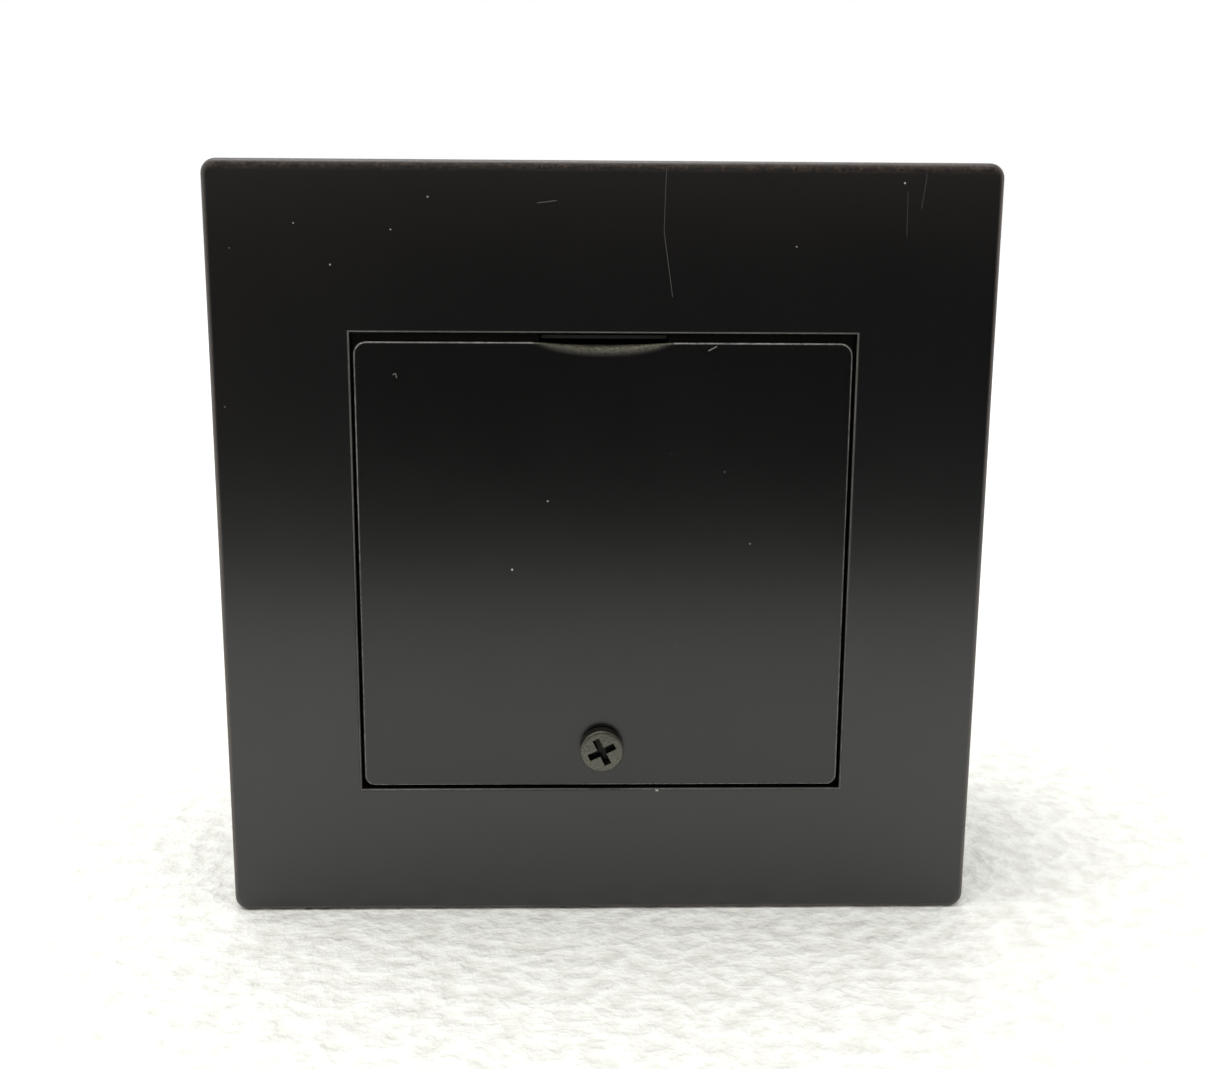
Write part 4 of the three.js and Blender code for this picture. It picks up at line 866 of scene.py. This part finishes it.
@dataclass
class DoorScrew:
    """M3 pan-head screw with a cross recess, black nickel."""

    finish: Material
    recess_painted_shade: Material
    head_mm: float = 2.9
    head_height_mm: float = 2.0
    shank_mm: float = 1.5
    groove_mm: float = 1.1
    rim_mm: float = 0.4
    cross_reach_mm: float = 1.93
    cross_half_mm: float = 0.47
    cross_depth_mm: float = 1.35
    cross_taper: float = 0.2
    cross_turn: float = 26.0
    clip_play_mm: float = 0.3
    pitch_mm: float = 0.5
    thread_mm: float = 0.22
    crest_mm: float = 0.06           # half the flat on a thread's crest
    tip_mm: float = 0.6

    def cross(self, top: Vector) -> Solid:
        """The driver's cross as one solid, which narrows as it goes down.

        Args:
            top: the middle of the head's face.

        Returns:
            The solid to take away.
        """
        a, b = self.cross_reach_mm, self.cross_half_mm
        outline = [(a, -b), (a, b), (b, b), (b, a), (-b, a), (-b, b), (-a, b), (-a, -b), (-b, -b), (-b, -a),
                   (b, -a), (b, -b)]
        above = 0.3
        bm = bmesh.new()
        rings = []
        for y, scale in ((-above, 1 + self.cross_taper * above / self.cross_depth_mm),
                         (self.cross_depth_mm, 1 - self.cross_taper)):
            rings.append([bm.verts.new((x * scale * MM, y * MM, z * scale * MM)) for x, z in outline])
            bm.faces.new(rings[-1])
        for i in range(len(outline)):
            j = (i + 1) % len(outline)
            bm.faces.new((rings[0][i], rings[0][j], rings[1][j], rings[1][i]))
        bmesh.ops.rotate(bm, cent=(0, 0, 0), matrix=Matrix.Rotation(-math.radians(self.cross_turn), 3, "Y"),
                         verts=bm.verts)
        bmesh.ops.translate(bm, vec=top, verts=bm.verts)
        bmesh.ops.triangulate(bm, faces=bm.faces)
        bmesh.ops.recalc_face_normals(bm, faces=bm.faces)
        return bm

    def build(self) -> Piece:
        """Build the screw.

        Returns:
            The piece.
        """
        low, high = box_corners("door_screw")
        clip_low, clip_high = box_corners("screw_clip")
        top = Vector(((low.x + high.x) / 2, low.y, (low.z + high.z) / 2))
        length = (high.y - low.y) / MM
        groove_low = (clip_low.y - low.y) / MM - self.clip_play_mm
        groove_high = (clip_high.y - low.y) / MM + self.clip_play_mm
        head, shank = self.head_mm, self.shank_mm
        rim = self.rim_mm
        profile = [(0.0, 0.0)] + arc(head - rim, rim, rim, -90, 0)
        profile += [(head, self.head_height_mm - 0.2), (head - 0.1, self.head_height_mm - 0.15),
                    (shank, self.head_height_mm - 0.15)]
        profile += [(shank, groove_low), (self.groove_mm, groove_low), (self.groove_mm, groove_high)]
        ridge = groove_high
        pitch, crest = self.pitch_mm, self.crest_mm
        while ridge + pitch < length - self.tip_mm:
            profile += [(shank, ridge + crest), (shank - self.thread_mm, ridge + pitch / 2),
                        (shank, ridge + pitch - crest)]
            ridge += pitch
        profile += [(shank, length - self.tip_mm), (shank - 0.5, length), (0.0, length)]
        bm = spun(profile, top, Y_AXIS, 64)
        bm = carve(bm, self.cross(top))
        # the cross recess takes the painted shade
        for face in bm.faces:
            spot = face.calc_center_median() - top
            inside = math.hypot(spot.x, spot.z) < (self.cross_reach_mm + 0.1) * MM
            if inside and 0.02 * MM < spot.y < (self.cross_depth_mm + 0.05) * MM:
                face.material_index = 1
        return finish_piece(bm, "door_screw_m3", "door_screw", ["door_screw"],
                            [self.finish, self.recess_painted_shade])


# ---- Watch side ----

@dataclass
class WatchSide:
    """Panel, watch pad, push button and light guide on the +Y side."""

    panel: Material
    rubber: Material
    red: Material
    clear: Material
    steel: Material
    ring_pitch_mm: float = 3.0
    ring_depth_mm: float = 0.22
    button_dish_mm: float = 0.5
    button_travel_mm: float = 1.2
    button_edge_mm: float = 0.7
    flange_out_mm: float = 1.1       # how far the flange stands out from the cap
    flange_thick_mm: float = 2.0
    flange_below_mm: float = 3.3     # from the panel's outer face to the flange
    stem_mm: float = 2.6
    pad_edge_mm: float = 0.5
    ring_half_mm: float = 0.3

    def build_pad(self) -> Piece:
        """Spin the pad, with fine grooves that keep a watch from sliding."""
        low, high = box_corners("watch_pad")
        middle = (low + high) / 2
        radius = (high.x - low.x) / 2 / MM
        thick = (high.y - low.y) / MM
        profile = [(0.0, 0.0), (radius, 0.0)]
        profile += arc(radius - self.pad_edge_mm, thick - self.pad_edge_mm, self.pad_edge_mm, 0, 90)
        groove = radius - self.ring_pitch_mm
        while groove > self.ring_pitch_mm:
            profile += [(groove + self.ring_half_mm, thick), (groove, thick - self.ring_depth_mm),
                        (groove - self.ring_half_mm, thick)]
            groove -= self.ring_pitch_mm
        profile.append((0.0, thick))
        bm = spun(profile, Vector((middle.x, low.y, middle.z)), Y_AXIS, 128)
        return finish_piece(bm, "watch_pad_rubber", "case", ["watch_pad"], [self.rubber], 50)

    def build_button(self) -> Piece:
        """Spin the cap with its dished top, its flange and its stem."""
        low, high = box_corners("button_cap")
        middle = (low + high) / 2
        length = (high.y - low.y) / MM
        flange = (high.x - low.x) / 2 / MM
        cap, stem, edge = flange - self.flange_out_mm, self.stem_mm, self.button_edge_mm
        flange_high = (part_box("watch_panel")[1][1] - low.y) / MM - self.flange_below_mm
        flange_low = flange_high - self.flange_thick_mm
        profile = [(0.0, 0.0), (stem, 0.0), (stem, flange_low), (flange, flange_low), (flange, flange_high),
                   (cap, flange_high)]
        profile += arc(cap - edge, length - edge, edge, 0, 90)
        profile += [(cap * share, length - self.button_dish_mm * (1 - share * share / 0.64))
                    for share in (0.8, 0.7, 0.6, 0.45, 0.3, 0.15)]
        profile.append((0.0, length - self.button_dish_mm))
        bm = spun(profile, Vector((middle.x, low.y, middle.z)), Y_AXIS, 96)
        return finish_piece(bm, "button_cap_red", "button", ["button_cap"], [self.red])

    def build_spring(self) -> Piece:
        """Copy the button's return spring onto a mesh of its own; in the real thing it shortens as the
        button goes in.
        """
        spring = finish_piece(cad_copy("button_spring"), "button_spring_fine", "case", ["button_spring"],
                              [self.steel], 60)
        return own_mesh(spring)

    def build(self) -> None:
        """Build the five pieces."""
        refined("watch_panel", "case", self.panel, 0.12)
        self.build_pad()
        self.build_button()
        self.build_spring()
        refined("light_guide", "case", self.clear, 0.1)


# ---- Battery bay ----

@dataclass(frozen=True)
class SleeveFinish:
    """Printed plastic sleeve, shrunk on a cell: plain blue-grey with one pale ring by the plus end."""

    name: str = "heat_shrunk_printed_pet_sleeve"
    colour: str = "2c4660"
    ring: str = "c9cdd0"
    roughness: float = 0.28

    def build(self) -> Material:
        """Make the material.

        Returns:
            The finished material.
        """
        material, tree, output = blank_material(self.name)
        along = add_node(tree, "ShaderNodeAttribute", attribute_name="along").outputs["Fac"]
        band = maths(tree, "COMPARE", along, 0.86, 0.018)
        spot = object_spot(tree)
        waves = add_node(tree, "ShaderNodeTexNoise", {"Vector": spot, "Scale": 350.0, "Detail": 2.0})
        colour = blend(tree, band, linear(self.colour), linear(self.ring))
        bump = add_node(tree, "ShaderNodeBump", {
            "Height": waves.outputs["Fac"], "Strength": 0.1, "Distance": 0.0004})
        shader = add_node(tree, "ShaderNodeBsdfPrincipled", {
            "Base Color": colour, "Roughness": self.roughness, "IOR": 1.57,
            "Normal": bump.outputs["Normal"]})
        tree.links.new(shader.outputs["BSDF"], output.inputs["Surface"])
        return material


@dataclass
class BatteryBay:
    """The moulded tray with its three AA cells, springs and contact plates."""

    tray: Material
    sleeve: Material
    nickel: Material
    brass: Material
    cells: int = 3
    nub_mm: float = 1.3
    wire_mm: float = 0.8
    spring_turns: float = 4.0
    spring_wide_mm: float = 4.2
    spring_narrow_mm: float = 2.2

    def build_cell(self, number: int) -> Piece:
        """Spin a cell with its rolled sleeve, its base and its nub.

        Args:
            number: 1 to 3; the odd ones point to +X.

        Returns:
            The piece.
        """
        node = f"aa_cell_{number}"
        low, high = box_corners(node)
        middle = (low + high) / 2
        way = 1 if number % 2 else -1
        start = Vector((low.x if way > 0 else high.x, middle.y, middle.z))
        length = (high.x - low.x) / MM
        radius = (high.z - low.z) / 2 / MM
        can = length - self.nub_mm
        profile = [(0.0, 0.0), (4.4, 0.0), (4.6, 0.15), (5.1, 0.2), (5.3, 0.05), (radius - 0.8, 0.0)]
        profile += arc(radius - 0.7, 0.7, 0.7, -80, 0)
        profile += arc(radius - 0.6, can - 0.6, 0.6, 0, 80)
        profile += [(5.2, can - 0.05), (5.0, can - 0.3), (3.3, can - 0.3), (3.1, can - 0.05),
                    (2.7, can + 0.1), (2.6, can + 0.3)]
        profile += arc(2.3, length - 0.3, 0.3, 0, 90)
        profile.append((0.0, length))
        bm = spun(profile, start, Vector((way, 0, 0)), 72)
        layer = bm.verts.layers.float.new("along")
        for vert in bm.verts:
            vert[layer] = abs(vert.co.x - start.x) / (length * MM)
        for face in bm.faces:
            spot = face.calc_center_median() - start
            out = math.hypot(spot.y, spot.z) / MM
            face.material_index = 0 if out > 5.15 else 1
        return finish_piece(bm, f"{node}_fine", "case", [node], [self.sleeve, self.nickel])

    def build_spring(self, number: int) -> Piece:
        """Spin the wire into a cone that narrows towards the cell."""
        node = f"contact_spring_{number}"
        low, high = box_corners(node)
        middle = centre(f"aa_cell_{number}")
        way = 1 if number % 2 else -1
        base = low.x if way > 0 else high.x
        room = (high.x - low.x) - self.wire_mm * MM
        wide = self.spring_wide_mm * MM
        bm = bmesh.new()
        ring = bmesh.ops.create_circle(bm, cap_ends=False, segments=12, radius=self.wire_mm / 2 * MM)
        start = Vector((base + way * self.wire_mm / 2 * MM, middle.y, middle.z))
        bmesh.ops.rotate(bm, cent=(0, 0, 0), matrix=Matrix.Rotation(math.pi / 2, 3, "X"),
                         verts=ring["verts"])
        bmesh.ops.translate(bm, vec=start + Vector((0, 0, wide)), verts=ring["verts"])
        steps = round(self.spring_turns * 36)
        edges = bm.edges[:]
        made = bmesh.ops.spin(bm, geom=bm.verts[:] + edges, cent=start, axis=(way, 0, 0),
                              dvec=(way * room / steps, 0, 0), steps=steps,
                              angle=2 * math.pi * self.spring_turns)
        ends = only(Edge, made["geom_last"])
        bmesh.ops.holes_fill(bm, edges=edges + ends, sides=0)
        for vert in bm.verts:
            done = min(1.0, max(0.0, (vert.co.x - start.x) * way / room))
            out = Vector((0, vert.co.y - start.y, vert.co.z - start.z))
            inwards = (self.spring_wide_mm - self.spring_narrow_mm) * MM * done
            vert.co -= out.normalized() * inwards
        bmesh.ops.recalc_face_normals(bm, faces=bm.faces)
        return finish_piece(bm, f"{node}_fine", "case", [node], [self.nickel])

    def build(self) -> None:
        """Build the bay."""
        refined("battery_tray", "case", self.tray, 0.15)
        refined("door_insert", "case", self.brass, 0.12)
        for number in range(1, self.cells + 1):
            self.build_cell(number)
            self.build_spring(number)
        for node in ("contact_plus", "contact_link_left", "contact_link_right", "contact_minus"):
            refined(node, "case", self.nickel, 0.08)


def refined(node: str, body: str, material: Material, bevel_mm: float,
            ) -> Piece:
    """Replace a CAD node by a merged copy with softened edges and smooth rounds.

    Args:
        node: the CAD node.
        body: the body that it rides on.
        material: the finish.
        bevel_mm: how much its sharp edges are softened.

    Returns:
        The piece.
    """
    piece = finish_piece(cad_copy(node), f"{node}_fine", body, [node], [material], 40)
    soften = piece.modifiers.new("soften", "BEVEL")
    soften.width = bevel_mm * MM
    soften.segments = 2
    soften.limit_method = "ANGLE"
    soften.angle_limit = math.radians(40)
    piece.modifiers.move(len(piece.modifiers) - 1, 0)
    return piece


# ---- Finishes of the pieces inside ----

def dress_inside() -> None:
    """Give every CAD node that stays its own finish."""
    four = range(1, 5)
    table = (
        # zinc plate: bluish silver with a soft shine
        (Finish("zinc_plated_steel", "b0b2b4", 0.35, 1.0, grain=Grain.DRAWN), [
            *(f"tray_screw_{i}" for i in four), *(f"board_screw_{i}" for i in four), "screw_clip"]),
        # black zinc: dull dark metal
        (Finish("black_zinc_plated_steel", "3c3c38", 0.4, 1.0, grain=Grain.DRAWN),
         [f"case_screw_{i}" for i in four]),
        # nylon: milky and satin
        (Finish("moulded_nylon", "d8d2c0", 0.5, grain=Grain.MOULDED), ["coil_bobbin"]),
        # enamelled wire: glossy red-brown, ribbed by its turns
        (Finish("enamelled_copper_winding", "8e3f1e", 0.32, 0.6, grain=Grain.WOUND, pitch_mm=0.5,
                depth=0.8, coat=0.4), ["coil_winding"]),
        # the same wire, wound along the other axis
        (Finish("enamelled_copper_layers", "9a4a22", 0.32, 0.6, grain=Grain.LAYERED, pitch_mm=0.4,
                depth=0.8, coat=0.4), ["transformer_winding", "coil_lead_1", "coil_lead_2"]),
        # turned brass: bright yellow metal
        (Finish("turned_brass", "b8954f", 0.3, 1.0, grain=Grain.DRAWN),
         ["coil_clamp_washer", "coil_clamp_screw"]),
        # solder mask over glass cloth: green, with a faint weave
        (Finish("solder_masked_glass_epoxy", "1d5835", 0.35, pitch_mm=0.8, shade=0.25), ["circuit_board"]),
        # filled epoxy: matt black, like slate
        (Finish("moulded_epoxy_package", "19191b", 0.6, pitch_mm=0.15),
         ["power_switch", "control_chip", "rectifier_diode", "button_switch", "switch_plunger"]),
        # shrunk PVC: tight, dark and glossy
        (Finish("heat_shrunk_pvc_sleeve", "23262c", 0.35, grain=Grain.SMOOTH),
         ["storage_capacitor_1", "storage_capacitor_2"]),
        # dipped film: a smooth brick red
        (Finish("dipped_polyester_film_case", "a33a2a", 0.4, grain=Grain.SMOOTH), ["film_capacitor"]),
        # ferrite: grey, fine and dull as stone
        (Finish("sintered_ferrite", "3b3b3d", 0.75, pitch_mm=0.12), ["transformer_core"]),
        # water-clear epoxy: a glassy lens
        (Finish("moulded_clear_epoxy", "e8ecef", 0.08, grain=Grain.SMOOTH, transmission=0.9, shade=0.02),
         ["signal_lamp"]),
        # PVC insulation: soft gloss
        (Finish("extruded_red_pvc", "b0241e", 0.45, grain=Grain.SMOOTH), ["battery_lead_plus"]),
        # the same in black
        (Finish("extruded_black_pvc", "1a1a1a", 0.45, grain=Grain.SMOOTH), ["battery_lead_minus"]),
    )
    for finish, nodes in table:
        material = finish.build()
        for node in nodes:
            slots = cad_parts[node].data.materials
            slots.clear()
            slots.append(material)
        log.info("%s: %s", finish.name, ", ".join(nodes))


def main() -> None:
    """Build the studio and the object, piece by piece."""
    Studio().build()
    scratches = (Scratch(7.6, 99.0, 7.4, 91.4, 0.06, 0.16), Scratch(7.4, 91.4, 8.6, 83.3, 0.06, 0.22),
                 Scratch(40.1, 98.6, 39.6, 94.4, 0.08, 0.10), Scratch(37.8, 96.5, 37.9, 90.9, 0.08, 0.08),
                 Scratch(-8.4, 94.8, -6.0, 95.1, 0.08, 0.22), Scratch(7.3, 17.35, 7.7, 17.3, 0.25, 0.8))
    door_marks = (Scratch(13.3, 76.5, 14.4, 77.1, 0.12, 0.5), Scratch(-26.9, 73.3, -26.5, 73.5, 0.1, 0.4),
                  Scratch(-26.5, 73.5, -26.4, 72.9, 0.1, 0.4))
    case_low, case_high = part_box("housing")
    # the case: satin black, with a band of painted reflection and rubbed wear along its upper front edge
    case_finish = AnodisedFinish(scratches=scratches, band_top_mm=case_high[2] / MM,
                                 band_front_mm=case_low[1] / MM).build()
    # the sawn edge of the hatch opening: its rounded lip coloured as a grey line, a painted highlight
    opening_edge_highlight = AnodisedFinish(name="black_anodised_opening_edge_painted_highlight", wear_and_sheen="57554f", worn_roughness=0.1,
                                    scratches=scratches[-1:]).build()
    # the door, from another dye bath: a deeper black than the case; its pale olive edge colour paints the
    # highlight in the finger scoop
    door_finish = AnodisedFinish(name="black_anodised_door_plate", dye="070708", wear_and_sheen="858270", ior=1.6,
                                 worn_roughness=0.1, sheen_and_wear_start=0.985, sheen_and_wear_full=0.72, speck_mm=5.5,
                                 scratches=door_marks).build()
    # its rounded rim: pale metal colour, a painted highlight
    door_rim_highlight = AnodisedFinish(name="black_anodised_door_rim_painted_highlight", wear_and_sheen="b5b3ae", sheen_and_wear_start=0.98,
                               sheen_and_wear_full=0.8, worn_roughness=0.05).build()
    # black nickel over a rough-tumbled head: dark olive metal that glints in patches
    screw_finish = Finish("black_nickel_plated_steel", "62615a", 0.3, 0.9, grain=Grain.MOULDED,
                          pitch_mm=0.28, depth=1.0, shade=0.75).build()
    # painted shade in the cross, where no sky reaches: near black, so it reads as deep
    recess = Finish("black_nickel_recess_painted_shade", "15140f", 0.5, 0.4, grain=Grain.MOULDED, depth=0.3).build()
    # ABS from a plain mould: dull black beside the bright cells
    tray = Finish("moulded_black_abs", "0e0e0f", 0.5, pitch_mm=0.35).build()
    # ABS from a spark-eroded mould: an even matt grit
    panel = Finish("spark_textured_black_abs", "1a1a1c", 0.5, pitch_mm=0.3, depth=0.6).build()
    # nitrile rubber: greyer than the panel, with no gloss
    rubber = Finish("black_nitrile_rubber", "222224", 0.75, pitch_mm=0.3, depth=0.25).build()
    # ABS from a polished mould: clear, sharp highlights on red
    red = Finish("polished_red_abs", "9c2320", 0.28, grain=Grain.SMOOTH, shade=0.04).build()
    # cast acrylic: see-through, with the dark hole showing in it
    clear = Finish("cast_clear_acrylic", "eef1f3", 0.05, grain=Grain.SMOOTH, transmission=0.95,
                   shade=0.01).build()
    # nickel plate: a warm silver, streaked by rolling
    nickel = Finish("nickel_plated_spring_steel", "c9c6bd", 0.28, 1.0, grain=Grain.DRAWN).build()
    # brass: yellow metal down in the dark boss
    brass = Finish("knurled_brass_insert", "b08d4a", 0.35, 1.0, grain=Grain.DRAWN).build()
    # painted shade: the phosphor bronze latch is coloured near black, so it all but vanishes in the gap over
    # the door
    bronze = Finish("phosphor_bronze_painted_shade", "0c0a09", 0.7, 0.2, grain=Grain.DRAWN).build()
    # cut foam: open pores and no shine
    foam = Finish("open_cell_polyurethane_foam", "2b2b2f", 0.95, grain=Grain.CELLULAR, pitch_mm=0.7,
                  depth=1.0, shade=0.4).build()
    CaseShell(case_finish, opening_edge_highlight, Opening()).build()
    BatteryDoor(door_finish, door_rim_highlight).build()
    DoorScrew(screw_finish, recess).build()
    refined("door_latch", "battery_door", bronze, 0.08)
    refined("door_pad", "battery_door", foam, 0.25)
    WatchSide(panel, rubber, red, clear, nickel).build()
    BatteryBay(tray, SleeveFinish().build(), nickel, brass).build()
    dress_inside()


if __name__ == "__main__":
    main()
